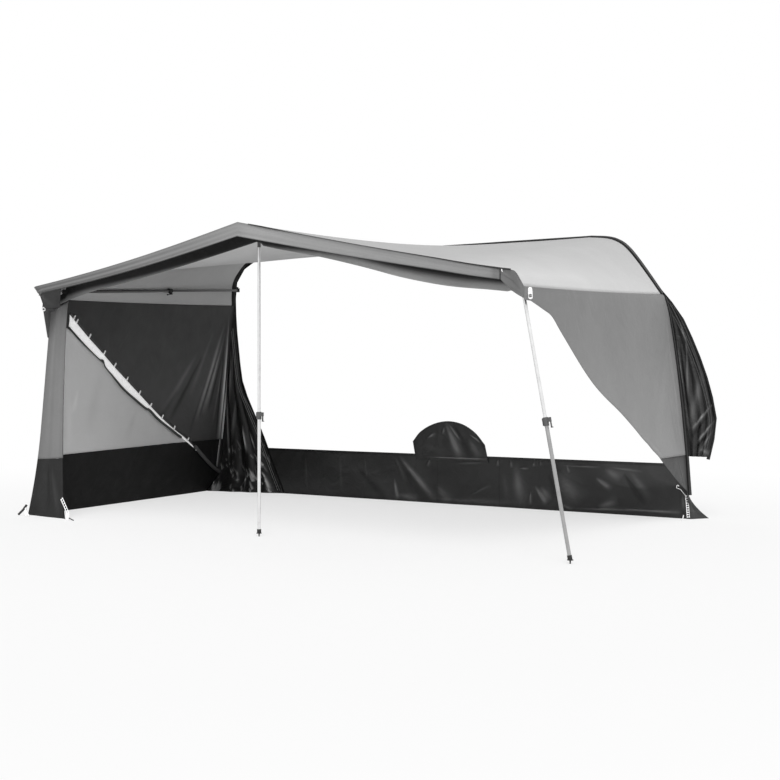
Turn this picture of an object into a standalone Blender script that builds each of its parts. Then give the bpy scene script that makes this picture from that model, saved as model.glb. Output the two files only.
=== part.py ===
"""Caravan awning: an open-fronted canopy with a telescopic frame, two wings and a draught skirt.

+X runs along the caravan towards its hitch, +Y from the front poles to the caravan, +Z up.
The origin is the point of the middle pole's foot. Lengths are in metres.
"""

import math

import bmesh
import bpy
import numpy as np
from mathutils import Matrix, Vector

# Overall sizes
depth = 2.78
rail_half = 2.545
rail_top = 2.39
peak_height = 2.295
visor_reach = 0.25
corner_reach = 2.24
right_corner_height = 1.84
left_corner_rise = 0.08
left_corner_set_back = 0.10
crease_reach = 1.65
eaves_fall = 0.092
mud_height = 0.53
skirt_height = 0.455

# Cloth
cloth_wall = 0.0015
seam_inset = 0.00035
hang_gap = 0.0004
ridge_sag = 0.031
eaves_sag = 0.010
right_edge_sag = 0.012
left_edge_sag = 0.028

# Visor: fascia, corner caps and the valance behind the poles' line
fascia_height = 0.102
fascia_end_height = 0.068
valance_height = 0.121
valance_end_height = 0.145
valance_notch = 0.056
cap_height = 0.075
cap_pull = 0.055
shoulder_drop = 0.14
shoulder_length = 0.06

# Wings and side wall
right_flare = 0.24
left_flare = 0.22
corner_kick = 0.09
kick_height = 0.75
kick_length = 0.25
tail_height = 0.20
hem_tip_width = 0.04
right_tail_out = 0.11
right_tail_back = 0.14
left_tail_in = 0.20
flap_end_height = 0.52
flap_fold = 0.022
left_flap_fold = 0.035
flap_pleats = 3.5
flap_fold_power = 0.7

# Front return at the left corner
return_top_drop = 0.10
return_top_width = 0.12
return_base_inner = 2.05
return_waist = 0.045
return_pleat = 0.010
return_pleats = 3
return_foot_share = 0.3
return_base_front = 0.015
return_mud_height = 0.49

# Draught skirt and wheel arch cover
skirt_crease = 0.010
skirt_waves = 9
arch_centre = 0.05
arch_half = 0.40
arch_base = 0.40
arch_shoulder = 0.54
arch_top = 0.76

# Awning rail beading
beading_width = 0.028
beading_thickness = 0.008
beading_end_height = 0.50

# Telescopic tubes
tube_radius = 0.0125
slim_radius = 0.0110
tube_wall = 0.0010
spigot_clearance = 0.0003

# Castings that join the tubes
casting_reach = 2.145
casting_drop = 0.034
casting_radius = 0.019
collar_radius = 0.0145
collar_length = 0.036
spigot_length = 0.060
leg_neck = 0.125
stay_radius = 0.004
stay_inset = 0.066

# Legs
foot_clearance = 0.022
spike_radius = 0.0055
spike_tip_radius = 0.0042
foot_plate_radius = 0.0205
foot_plate_thickness = 0.004
foot_cup_radius = 0.0155
foot_bore_radius = 0.0130
foot_cup_height = 0.032
foot_cup_floor = 0.006
clamp_height = 0.90
leg_insertion = 0.34
right_foot_out = 2.49
left_foot_out = 2.38
left_foot_back = 0.20

# Rafters
rafter_rear_drop = 0.095
right_rafter_rear_drop = 0.052
left_rafter_rear_drop = 0.040
rafter_rear_inward = 0.043
rafter_clearance = 0.016
rafter_overlap = 0.30
claw_width = 0.040
claw_depth = 0.014
claw_height = 0.040
claw_finger = 0.014

# Lever clamp
clamp_radius = 0.0175
clamp_skirt = 0.036
clamp_crown = 0.020
clamp_fit = 0.0003
clamp_back = 0.0215
clamp_back_width = 0.020
ear_reach = 0.036
ear_thickness = 0.004
ear_spread = 0.0195
ear_low = 0.012
ear_high = 0.016
pin_offset = 0.0275
pin_height = 0.003
pin_radius = 0.0024
pin_clearance = 0.0003
cam_radius = 0.0085
lever_width = 0.0143
lever_thickness = 0.0060
lever_length = 0.052
lever_lip = 0.006

# Ladder straps
strap_width = 0.014
strap_thickness = 0.003
strap_rung = 0.004
strap_pitch = 0.020
strap_reach_pitches = 4

overrun = 0.004

# Outlines as shares: along the rail, x of rail_half and z of rail_top
right_rail_shares = [
    (0.570, 0.998), (0.672, 0.960), (0.747, 0.883), (0.820, 0.783), (0.874, 0.715),
    (0.925, 0.603), (0.965, 0.490), (0.990, 0.385), (0.994, 0.318), (0.972, 0.209),
]
right_eaves_knot = 3
left_rail_shares = [
    (0.864, 1.000), (0.917, 0.988), (0.955, 0.954), (0.986, 0.908), (0.994, 0.862),
    (0.994, 0.803), (0.990, 0.715), (0.978, 0.607), (0.958, 0.469), (0.914, 0.368),
    (0.860, 0.260), (0.803, 0.130), (0.743, 0.000),
]
left_eaves_knot = 5
# The wing's free edge: distance from the poles over depth, height over the right corner's
free_edge_shares = [
    (-0.012, 0.905), (0.060, 0.880), (0.110, 0.860), (0.160, 0.812), (0.240, 0.742), (0.356, 0.647),
    (0.510, 0.521), (0.640, 0.412), (0.773, 0.304), (0.950, 0.152), (1.035, 0.098),
]
# The roof's outline behind the corner, from crease to eaves, of the way across and of the way down
corner_shares = [(0.0, 0.0), (0.42, 0.26), (0.79, 0.495), (0.945, 0.66), (1.0, 1.0)]
# The same at the visor's edge, whose corner stays up
nose_shares = [(0.0, 0.0), (0.42, 0.25), (0.79, 0.44), (0.955, 0.52), (1.0, 0.62)]
main_column_shares = [0.0, 0.03, 0.17, 0.34, 0.51, 0.68, 0.84, 1.0]
side_column_shares = [0.0, 0.14, 0.28, 0.42, 0.56, 0.70, 0.74, 0.78, 0.89, 1.0]
elbow_column = 6
rail_bays = 11
valance_reach_share = 0.12
visor_share = (depth + valance_reach_share * visor_reach) / (depth + visor_reach)
bar_share = depth / (depth + visor_reach)
row_shares = [k / rail_bays * visor_share for k in range(rail_bays + 1)] + [(1 + visor_share) / 2, 1.0]
visor_row = rail_bays
nose_row = rail_bays + 1
rafter_clamp_share = 0.56
wing_column_share = 0.5
panel_end_share = 0.8

palette = {
    "roof_cloth": ((0.62, 0.62, 0.61), 0.85, 0.0),
    "visor_cloth": ((0.33, 0.33, 0.33), 0.85, 0.0),
    "wing_cloth": ((0.27, 0.27, 0.27), 0.85, 0.0),
    "panel_cloth": ((0.40, 0.40, 0.40), 0.85, 0.0),
    "mud_cloth": ((0.035, 0.035, 0.036), 0.55, 0.0),
    "beading": ((0.012, 0.012, 0.012), 0.5, 0.0),
    "tube_metal": ((0.72, 0.72, 0.73), 0.3, 1.0),
    "casting_plastic": ((0.05, 0.05, 0.055), 0.5, 0.0),
    "clamp_plastic": ((0.07, 0.07, 0.075), 0.45, 0.0),
    "strap_rubber": ((0.75, 0.75, 0.74), 0.5, 0.0),
}


def clear_scene():
    for thing in list(bpy.data.objects):
        bpy.data.objects.remove(thing, do_unlink=True)


def material(slot):
    found = bpy.data.materials.get(slot)
    if found:
        return found
    colour, roughness, metallic = palette[slot]
    made = bpy.data.materials.new(slot)
    made.use_nodes = True
    shader = made.node_tree.nodes["Principled BSDF"]
    shader.inputs["Base Color"].default_value = (*colour, 1)
    shader.inputs["Roughness"].default_value = roughness
    shader.inputs["Metallic"].default_value = metallic
    return made


def add_object(name, mesh, slot, place=None, angle=0.7):
    thing = bpy.data.objects.new(name, mesh)
    bpy.context.scene.collection.objects.link(thing)
    mesh.materials.append(material(slot))
    mesh.shade_smooth()
    mesh.set_sharp_from_angle(angle=angle)
    if place is not None:
        thing.matrix_world = place
    return thing


def mesh_from(name, points, faces):
    """A closed mesh with its faces turned outwards."""
    mesh = bpy.data.meshes.new(name)
    mesh.from_pydata([tuple(map(float, p)) for p in points], [], faces)
    work = bmesh.new()
    work.from_mesh(mesh)
    bmesh.ops.recalc_face_normals(work, faces=work.faces)
    work.to_mesh(mesh)
    work.free()
    mesh.validate()
    return mesh


# Curves and grids


def through(points, samples, low=0.0, high=1.0):
    """A smooth curve through the points, sampled evenly by length between two shares of it."""
    points = np.asarray(points, float)
    ends = np.vstack([2 * points[0] - points[1], points, 2 * points[-1] - points[-2]])
    steps = np.linspace(0, 1, 13)[:-1][:, None]
    fine = []
    for a, b, c, d in zip(ends[:-3], ends[1:-2], ends[2:-1], ends[3:]):
        fine.append(0.5 * (2 * b + (c - a) * steps + (2 * a - 5 * b + 4 * c - d) * steps**2
                           + (3 * b - a - 3 * c + d) * steps**3))
    fine = np.vstack(fine + [points[-1:]])
    length = np.concatenate([[0], np.cumsum(np.linalg.norm(np.diff(fine, axis=0), axis=1))])
    wanted = np.asarray(samples, float) * (high - low) + low
    return np.stack([np.interp(wanted * length[-1], length, column) for column in fine.T], axis=1)


def scaled(shares, across, up):
    return [(a * across, b * up) for a, b in shares]


def blend(a, b, share):
    return a + (b - a) * share


def unit(v):
    return v / np.maximum(np.linalg.norm(v, axis=-1, keepdims=True), 1e-12)


def inset(grid, first_row=0.0, last_row=0.0, first_column=0.0, last_column=0.0):
    """The grid with its border rows and columns drawn in, to leave a seam's gap."""
    out = grid.copy()
    out[0] += unit(grid[1] - grid[0]) * first_row
    out[-1] += unit(grid[-2] - grid[-1]) * last_row
    out[:, 0] += unit(grid[:, 1] - grid[:, 0]) * first_column
    out[:, -1] += unit(grid[:, -2] - grid[:, -1]) * last_column
    return out


def cloth(name, grid, slot, wall=cloth_wall):
    """A closed sheet of the wall's thickness, half of it on each side of the grid."""
    rows, columns = grid.shape[:2]
    normal = unit(np.cross(np.gradient(grid, axis=0), np.gradient(grid, axis=1)))
    out = normal * wall / 2
    points = np.concatenate([(grid + out).reshape(-1, 3), (grid - out).reshape(-1, 3)])
    points[:, 2] = np.maximum(points[:, 2], 0)
    below = rows * columns

    def at(row, column, side):
        return side * below + row * columns + column

    faces = []
    for row in range(rows - 1):
        for column in range(columns - 1):
            a, b, c, d = (row, column), (row, column + 1), (row + 1, column + 1), (row + 1, column)
            # both sides are cut along the same diagonal, which keeps a twisted wall's thickness
            for triangle in ((a, b, c), (a, c, d)):
                faces.append([at(*corner, 0) for corner in triangle])
                faces.append([at(*corner, 1) for corner in reversed(triangle)])
    rim = [(0, c) for c in range(columns)] + [(r, columns - 1) for r in range(1, rows)]
    rim += [(rows - 1, c) for c in range(columns - 2, -1, -1)] + [(r, 0) for r in range(rows - 2, 0, -1)]
    for here, there in zip(rim, rim[1:] + rim[:1]):
        faces.append([at(*there, 0), at(*here, 0), at(*here, 1), at(*there, 1)])
    return add_object(name, mesh_from(name, points, faces), slot, angle=1.2)


# The two sides of the awning. Left mirrors right but for the rail's shape and how it is pitched.

sides = {
    "right": dict(
        turn=1.0, corner_height=right_corner_height, set_back=0.0, edge_sag=right_edge_sag, shoulder=0.0,
        rail=scaled(right_rail_shares, rail_half, rail_top), eaves_knot=right_eaves_knot,
        flare=right_flare, flare_front_share=0.05, flare_power=0.6, kick=0.0,
        tail_out=right_tail_out, tail_back=right_tail_back, rafter_drop=right_rafter_rear_drop,
        foot=(right_foot_out, 0.0),
    ),
    "left": dict(
        turn=-1.0, corner_height=right_corner_height + left_corner_rise,
        set_back=left_corner_set_back, edge_sag=left_edge_sag, shoulder=shoulder_drop,
        rail=scaled(left_rail_shares, rail_half, rail_top), eaves_knot=left_eaves_knot,
        flare=left_flare, flare_front_share=1.0, flare_power=1.0, kick=corner_kick,
        tail_out=0.0, tail_back=-left_tail_in, rafter_drop=left_rafter_rear_drop,
        foot=(left_foot_out, left_foot_back),
    ),
}


def rail_curve(side, samples, low_knot=0, high_knot=None):
    """Points (x, y, z) on the awning rail between two of its knots, x as on the right side."""
    rail = side["rail"]
    flat = through(rail[low_knot:high_knot], samples)
    return np.stack([flat[:, 0], np.full(len(flat), depth), flat[:, 1]], axis=1)


def front_height(side, reach):
    """Height of the visor's edge at a distance from the middle, with its slight sag."""
    along = reach / corner_reach
    return blend(peak_height, side["corner_height"], along) - side["edge_sag"] * np.sin(np.pi * along)


def front_set_back(side, reach):
    return -visor_reach + side["set_back"] * reach / corner_reach


def side_front(side, samples, shares):
    """The roof's outline at the visor, from the crease round the corner to the eaves."""
    start = front_height(side, crease_reach)
    low = side["corner_height"] - eaves_fall
    spots = [(blend(crease_reach, corner_reach, a), blend(start, low, b)) for a, b in shares]
    flat = through(spots, samples)
    return np.stack([flat[:, 0], front_set_back(side, flat[:, 0]), flat[:, 1]], axis=1)


def roof_grid(side, part):
    """Rows run from the rail to the visor's edge, columns outwards from the ridge."""
    if part == "main":
        share = np.array(main_column_shares)
        crease = side["rail"][0]
        rear = np.stack([share * crease[0], 0 * share + depth, 0 * share + rail_top], axis=1)
        reach = share * crease_reach
        front = np.stack([reach, front_set_back(side, reach), front_height(side, reach)], axis=1)
        sag = np.full(len(share), ridge_sag)
    else:
        share = np.array(side_column_shares)
        rear = rail_curve(side, share, 0, side["eaves_knot"] + 1)
        front = side_front(side, share, corner_shares)
        sag = blend(ridge_sag, eaves_sag, share)
    along = np.array(row_shares)[:, None, None]
    grid = blend(rear[None], front[None], along)
    if part == "side":
        grid[-1] = side_front(side, share, nose_shares)
    grid[:, :, 2] -= (4 * along * (1 - along))[:, :, 0] * sag[None]
    return grid


def place_side(grid, side):
    """A grid drawn for the right side, put on its own side."""
    out = grid.copy()
    out[..., 0] *= side["turn"]
    return out


def eaves(side):
    return roof_grid(side, "side")[:, -1]


def free_edge(samples=40):
    shares = scaled(free_edge_shares, depth, right_corner_height)
    return through(shares, np.linspace(0, 1, samples))


def free_height(y):
    edge = free_edge()
    return np.interp(y, edge[:, 0], edge[:, 1])


def wing_low_edge(side, y):
    """The wing's free edge, which the left corner gathers down into a shoulder."""
    return free_height(y) - side["shoulder"] * np.exp(-((y - shoulder_length) / shoulder_length) ** 2)


def free_distance(z):
    """How far behind the poles the wing's free edge is at a height."""
    edge = free_edge()[::-1]
    return np.interp(z, edge[:, 1], edge[:, 0])


def wall_x(side, y, z):
    """The side wall's distance from the middle, where it leans out below the eaves."""
    line = eaves(side)[::-1]
    top_x = np.interp(y, line[:, 1], line[:, 0])
    top_z = np.interp(y, line[:, 1], line[:, 2])
    front_share = side["flare_front_share"]
    lean = side["flare"] * blend(front_share, 1.0, np.clip(y / depth, 0, 1))
    down = np.clip(1 - z / top_z, 0, 1)
    kick = side["kick"] * np.clip(1 - z / kick_height, 0, 1) ** 2 * np.exp(-np.abs(y) / kick_length)
    return top_x + lean * down ** side["flare_power"] + kick


def wall_grid(side, y, low, high, rows):
    """Cloth on the side wall above each y, from its low edge to its high edge."""
    y = np.asarray(y)
    height = blend(low[None], high[None], np.linspace(0, 1, rows)[:, None])
    across = np.broadcast_to(y[None], height.shape)
    return np.stack([wall_x(side, across, height), across, height], axis=2)


# Cloth pieces


def roof_pieces():
    for name, side in sides.items():
        for part in ("main", "side"):
            grid = inset(roof_grid(side, part), first_column=seam_inset, last_column=seam_inset)
            cloth(f"roof_{part}_{name}", place_side(grid, side), "roof_cloth")


def strip_below(top, heights, rows=3):
    """A strip that hangs from a line of points, with each column's own height."""
    share = np.linspace(0, 1, rows)[:, None]
    grid = np.repeat(top[None], rows, axis=0)
    grid[:, :, 2] -= share * heights[None]
    return grid


def fascia_pieces():
    """The band in front of the visor's edge, from the middle to where the corner cap begins."""
    forward = cloth_wall / 2 + hang_gap
    for name, side in sides.items():
        main = roof_grid(side, "main")[-1]
        flank = roof_grid(side, "side")[-1, : elbow_column + 1]
        top = np.vstack([main, flank[1:]])
        top[:, 1] -= forward
        heights = np.interp(top[:, 0], [0, top[-1, 0]], [fascia_height, fascia_end_height])
        grid = inset(strip_below(top, heights), first_column=seam_inset, last_column=seam_inset)
        cloth(f"fascia_{name}", place_side(grid, side), "visor_cloth")


def cap_pieces():
    """The cloth that turns each corner, from the fascia's end round to the wing's front edge."""
    forward = cloth_wall / 2 + 2 * hang_gap
    sideways = cloth_wall + hang_gap
    for name, side in sides.items():
        flank = roof_grid(side, "side")
        front = flank[-1, elbow_column:]
        back = flank[nose_row:-1, -1][::-1]
        top = np.vstack([front, back])
        top[: len(front), 1] -= forward
        top[len(front) - 1:, 0] += sideways
        along = np.linspace(0, 1, len(top))
        floor = blend(top[0, 2] - fascia_end_height, top[-1, 2] - cap_height, along)
        grid = strip_below(top, top[:, 2] - floor, rows=4)
        grid[:, :, 1] += cap_pull * np.linspace(0, 1, 4)[:, None] * (4 * along * (1 - along))[None]
        grid = inset(place_side(grid, side), first_column=cloth_wall / 2, last_column=cloth_wall / 2)
        cloth(f"corner_cap_{name}", grid, "visor_cloth")


def valance_top(side):
    """The line under the roof where the valance is sewn, out to the corner casting's far side."""
    main = roof_grid(side, "main")[visor_row]
    flank = roof_grid(side, "side")[visor_row, : elbow_column + 2]
    top = np.vstack([main, flank[1:]])
    top[:, 2] -= cloth_wall / 2 + 2 * hang_gap
    return top


def valance_floor(side):
    """The valance's lower edge below each point of its top."""
    top = valance_top(side)
    floor = top.copy()
    heights = np.interp(top[:, 0], [0, top[-1, 0]], [valance_height, valance_end_height])
    floor[:, 2] -= heights
    return floor


def valance_piece():
    """Notched at its top edge where a stay passes from each casting to the fascia."""
    halves = []
    for side in sides.values():
        top = valance_top(side)
        notch = np.zeros(len(top))
        notch[0] = valance_notch
        notch[len(main_column_shares) - 2 + elbow_column:] = valance_notch
        top[:, 2] -= notch
        share = np.linspace(0, 1, 3)[:, None, None]
        halves.append(place_side(blend(top[None], valance_floor(side)[None], share), side))
    right, left = halves
    cloth("valance", np.concatenate([left[:, :0:-1], right], axis=1), "visor_cloth")


def wing_columns(side):
    """The wing's points along the eaves, closer together near the corner, and its low edge below them."""
    line = eaves(side)[: nose_row + 1]
    rows = np.arange(len(line))
    wanted = np.sort(np.concatenate([rows, rows[-5:-1] + wing_column_share]))
    line = np.stack([np.interp(wanted, rows, column) for column in line.T], axis=1)
    return line, np.maximum(wing_low_edge(side, line[:, 1]), mud_height)


def wing_pieces():
    """Each wing hangs from the eaves; below the mud line its hem cloth is a piece of its own."""
    for name, side in sides.items():
        line, low = wing_columns(side)
        grid = wall_grid(side, line[:, 1], low, line[:, 2], 7)
        grid[-1, :, 0] = line[:, 0]
        grid = inset(grid, first_row=seam_inset, last_row=seam_inset, first_column=seam_inset)
        cloth(f"wing_{name}", place_side(grid, side), "wing_cloth")


def mud_hem_grid(side):
    """Rows run down from the mud line, columns from the free edge to the rail's seam."""
    height = np.concatenate([np.linspace(mud_height, tail_height, 6), np.linspace(tail_height, 0, 4)[1:]])
    share = np.linspace(0, 1, 5)[None]
    tail = below(height) ** 1.5
    end = depth + side["tail_back"] * tail
    start = np.minimum(np.minimum(free_distance(height), end - hem_tip_width), depth - skirt_crease)
    across = blend(start[:, None], end[:, None], share)
    grid = np.stack([wall_x(side, np.minimum(across, depth), height[:, None]), across,
                     np.broadcast_to(height[:, None], across.shape)], axis=2)
    grid[:, :, 0] += side["tail_out"] * tail[:, None] * share
    return grid


def below(height):
    """How far a height is down the tail of the mud hem, 0 at its top and 1 on the ground."""
    return np.clip(1 - height / tail_height, 0, 1)


def mud_hems():
    for name, side in sides.items():
        grid = mud_hem_grid(side)
        grid = inset(grid, first_row=seam_inset, first_column=seam_inset, last_column=seam_inset)
        cloth(f"wing_mud_hem_{name}", place_side(grid, side), "mud_cloth")


def seam_line(side, height):
    """The wing's rear seam, which the rail flap is sewn to."""
    hem = mud_hem_grid(side)[::-1, -1]
    y = np.interp(height, hem[:, 2], hem[:, 1])
    out = np.interp(height, hem[:, 2], hem[:, 0])
    x = np.where(height > mud_height, wall_x(side, np.full_like(height, depth), height), out)
    return np.stack([x, np.where(height > mud_height, depth, y), height], axis=1)


def rail_flaps():
    """Creased gussets between each wing's rear seam and the curving rail."""
    for name, side in sides.items():
        knots = np.array(side["rail"][side["eaves_knot"]:])
        curve = through(knots, np.linspace(0, 1, 60))[::-1]
        top = knots[0][1]
        foot = 0.0 if name == "left" else flap_end_height
        height = np.linspace(top - cap_height, foot, 15)
        seam = seam_line(side, height)
        rail_x = np.interp(height, curve[:, 1], curve[:, 0])
        rail = np.stack([rail_x, 0 * height + depth, height], axis=1)
        share = np.linspace(0, 1, 15)
        grid = blend(seam[:, None], rail[:, None], share[None, :, None])
        fold = left_flap_fold if name == "left" else flap_fold
        depth_of_fold = fold * np.linspace(0, 1, len(height))[:, None] ** flap_fold_power
        pleats = np.sin(np.pi * flap_pleats * share)[None] ** 2 * np.sqrt(np.sin(np.pi * share))[None]
        grid[:, :, 1] -= depth_of_fold * pleats
        grid = inset(grid, first_column=cloth_wall / 2 + 2 * hang_gap, last_column=seam_inset)
        cloth(f"rail_flap_{name}", place_side(grid, side), "mud_cloth")


def side_panel_pieces():
    """The left wall's lower half, from the front corner to the wing's free edge, and its mud hem."""
    side = sides["left"]
    line, edge = wing_columns(side)
    front = valance_floor(side)[-1, 1]
    y = line[::-1, 1]
    y = y[(y > front) & (edge[::-1] > mud_height)]
    gap = depth / rail_bays
    y = np.concatenate([[front], y, [y[-1] + gap * panel_end_share]])
    top = np.interp(y, line[::-1, 1], edge[::-1])
    grid = wall_grid(side, y, np.full(len(y), mud_height), top, 8)
    grid = inset(grid, first_row=seam_inset, last_row=seam_inset, first_column=seam_inset)
    cloth("side_panel", place_side(grid, side), "panel_cloth")

    hem = mud_hem_grid(side)[:, 0]
    share = np.linspace(0, 1, 12)[None]
    across = blend(np.full(len(hem), front)[:, None], hem[:, 1][:, None], share)
    height = np.broadcast_to(hem[:, 2][:, None], across.shape)
    grid = np.stack([wall_x(side, across, height), across, height], axis=2)
    grid = inset(grid, first_row=seam_inset, first_column=seam_inset, last_column=seam_inset)
    cloth("side_panel_mud_hem", place_side(grid, side), "mud_cloth")


def return_grid(rows):
    """The tapered panel that turns the left corner in the poles' plane, at the heights given."""
    side = sides["left"]
    floor = valance_floor(side)
    outer_top = floor[-1]
    outer_y = outer_top[1]
    share = np.linspace(0, 1, 7)
    top_x = outer_top[0] - return_top_width * share
    shelf = eaves(side)[visor_row, 2] - return_top_drop
    top_z = blend(shelf, np.interp(top_x, floor[:, 0], floor[:, 2]) - cloth_wall / 2, share)
    top_y = np.interp(top_x, floor[:, 0], floor[:, 1])
    out = []
    for height in rows:
        z = height * top_z
        outer_x = float(wall_x(side, outer_y, z[0]))
        waist = return_waist * math.sqrt(abs(math.sin(math.pi * height)))
        inner_x = blend(return_base_inner, top_x[-1], height) + waist
        x = blend(outer_x, inner_x, share)
        y = blend(blend(outer_y, return_base_front, share), top_y, height)
        pleat = return_pleat * np.sin(return_pleats * np.pi * share) * blend(return_foot_share, 1.0, height)
        out.append(np.stack([x, y + pleat, z], axis=1))
    return np.array(out)


def return_pieces():
    side = sides["left"]
    split = return_mud_height / (right_corner_height - cap_height)
    beside = cloth_wall / 2 + 2 * hang_gap
    upper = inset(return_grid(np.linspace(1, split, 8)), last_row=seam_inset, first_column=beside)
    cloth("front_return", place_side(upper, side), "wing_cloth")
    lower = inset(return_grid(np.linspace(split, 0, 5)), first_row=seam_inset, first_column=beside)
    cloth("front_return_mud_hem", place_side(lower, side), "mud_cloth")


def skirt_crease_at(x, z):
    """How far the hanging skirt cloth stands out at a place; none at its two ends."""
    along = np.clip((x + rail_half) / (2 * rail_half), 0, 1)
    wave = (1 + np.sin(skirt_waves * np.pi * along + 2 * np.pi * z / skirt_height)) / 2
    return skirt_crease * np.sin(np.pi * along) ** 2 * wave


def skirt_pieces():
    """The skirt below the caravan's side, and the cover over its wheel arch."""
    height = np.linspace(0, skirt_height, 5)
    knots = through(sides["left"]["rail"], np.linspace(0, 1, 200))[::-1]
    start = -np.interp(height, knots[:, 1], knots[:, 0])
    end = wall_x(sides["right"], np.full(len(height), depth), height)
    share = np.linspace(0, 1, 26)[None]
    x = blend(start[:, None], end[:, None], share)
    z = np.broadcast_to(height[:, None], x.shape)
    grid = np.stack([x, depth - skirt_crease_at(x, z), z], axis=2)
    grid = inset(grid, first_column=2 * hang_gap, last_column=cloth_wall / 2 + hang_gap)
    cloth("draught_skirt", grid, "mud_cloth")

    x = arch_centre + arch_half * np.sin(np.linspace(-math.pi / 2, math.pi / 2, 15))
    rise = 1 - ((x - arch_centre) / arch_half) ** 2
    top = blend(arch_shoulder, arch_top, rise)
    z = blend(np.full(len(x), arch_base)[None], top[None], np.linspace(0, 1, 6)[:, None])
    x = np.broadcast_to(x[None], z.shape)
    y = depth - skirt_crease_at(x, np.minimum(z, skirt_height)) - cloth_wall - hang_gap * 4
    cloth("wheel_arch_cover", np.stack([x, y, z], axis=2), "mud_cloth")


def rail_path(samples=48):
    """The rail's whole outline from the left end up and over to the right end."""
    left = through(sides["left"]["rail"], np.linspace(0, 1, 120))
    left = left[left[:, 1] >= beading_end_height]
    left[:, 0] *= -1
    right = through(sides["right"]["rail"], np.linspace(0, 1, 120))
    line = np.vstack([left[::-1], right])
    length = np.concatenate([[0], np.cumsum(np.linalg.norm(np.diff(line, axis=0), axis=1))])
    wanted = np.linspace(0, length[-1], samples)
    return np.stack([np.interp(wanted, length, line[:, 0]), np.interp(wanted, length, line[:, 1])], axis=1)


def beading_piece():
    """The flat beading sewn round the roof's rear edge, which slides into the awning rail."""
    path = rail_path()
    along = unit(np.gradient(path, axis=0))
    out = np.stack([-along[:, 1], along[:, 0]], axis=1)
    half = beading_width / 2
    front = depth + cloth_wall
    middle, back = front + beading_thickness / 2, front + beading_thickness
    profile = [(half, front), (half / 2, front), (-half / 2, front), (-half, front),
               (-half, middle), (-half / 2, back), (half / 2, back), (half, middle)]
    points = [(p[0] + o[0] * a, y, p[1] + o[1] * a) for p, o in zip(path, out) for a, y in profile]
    count = len(profile)
    faces = []
    for ring in range(len(path) - 1):
        for k in range(count):
            here, there = ring * count, (ring + 1) * count
            faces.append([here + k, here + (k + 1) % count, there + (k + 1) % count, there + k])
    faces.append(list(range(count)))
    faces.append([(len(path) - 1) * count + k for k in reversed(range(count))])
    add_object("rail_beading", mesh_from("rail_beading", points, faces), "beading")


# Metal and plastic


def along_axis(start, direction, roll=Vector((1, 0, 0))):
    """A frame at start whose Z is the direction and whose X leans towards roll."""
    z = Vector(direction).normalized()
    x = (Vector(roll) - z * z.dot(Vector(roll))).normalized()
    y = z.cross(x)
    turn = Matrix((x, y, z)).transposed().to_4x4()
    turn.translation = Vector(start)
    return turn


def turned(name, profile, sides_round=16):
    """A closed body of revolution about Z from a closed profile of (radius, z)."""
    points = []
    for k in range(sides_round):
        turn = 2 * math.pi * k / sides_round
        points += [(r * math.cos(turn), r * math.sin(turn), z) for r, z in profile]
    count = len(profile)
    faces = []
    for k in range(sides_round):
        here, there = k * count, (k + 1) % sides_round * count
        for j in range(count):
            faces.append([here + j, there + j, there + (j + 1) % count, here + (j + 1) % count])
    return mesh_from(name, points, faces)


def capped(name, profile, sides_round=16):
    """A solid of revolution about Z from an open profile of (radius, z), closed by two flat caps."""
    points = []
    for k in range(sides_round):
        turn = 2 * math.pi * k / sides_round
        points += [(r * math.cos(turn), r * math.sin(turn), z) for r, z in profile]
    count = len(profile)
    faces = []
    for k in range(sides_round):
        here, there = k * count, (k + 1) % sides_round * count
        for j in range(count - 1):
            faces.append([here + j, there + j, there + j + 1, here + j + 1])
    faces.append([k * count for k in range(sides_round)])
    faces.append([k * count + count - 1 for k in range(sides_round)])
    return mesh_from(name, points, faces)


def tube(name, start, end, radius, slot="tube_metal"):
    """An open tube between two points, with its origin on its axis at the start."""
    span = Vector(end) - Vector(start)
    bore = radius - tube_wall
    mesh = turned(name, [(bore, 0), (radius, 0), (radius, span.length), (bore, span.length)])
    return add_object(name, mesh, slot, along_axis(start, span))


def box_mesh(name, low, high, bevel=0.0):
    work = bmesh.new()
    bmesh.ops.create_cube(work, size=1)
    size = Vector(high) - Vector(low)
    middle = (Vector(high) + Vector(low)) / 2
    fit = Matrix.Translation(middle) @ Matrix.Diagonal((*size, 1))
    bmesh.ops.transform(work, matrix=fit, verts=work.verts)
    if bevel:
        bmesh.ops.bevel(work, geom=work.edges, offset=bevel, segments=1, affect="EDGES")
    mesh = bpy.data.meshes.new(name)
    work.to_mesh(mesh)
    work.free()
    return mesh


def rod_mesh(name, start, end, radius, sides_round=14):
    span = Vector(end) - Vector(start)
    mesh = capped(name, [(radius, 0), (radius, span.length)], sides_round)
    mesh.transform(along_axis(start, span))
    return mesh


def combined(name, joined, cut, slot, place):
    """One body from meshes that overlap, less the cutters, made with exact booleans."""
    base = bpy.data.objects.new(name, joined[0])
    bpy.context.scene.collection.objects.link(base)
    helpers = []
    for operation, meshes in (("UNION", joined[1:]), ("DIFFERENCE", cut)):
        for mesh in meshes:
            helper = bpy.data.objects.new(f"{name}_tool", mesh)
            bpy.context.scene.collection.objects.link(helper)
            helpers.append(helper)
            change = base.modifiers.new("shape", "BOOLEAN")
            change.operation = operation
            change.solver = "EXACT"
            change.object = helper
    made = bpy.data.meshes.new_from_object(base.evaluated_get(bpy.context.evaluated_depsgraph_get()))
    for thing in [base, *helpers]:
        bpy.data.objects.remove(thing, do_unlink=True)
    made.materials.clear()
    return add_object(name, made, slot, place, angle=0.6)


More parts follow.
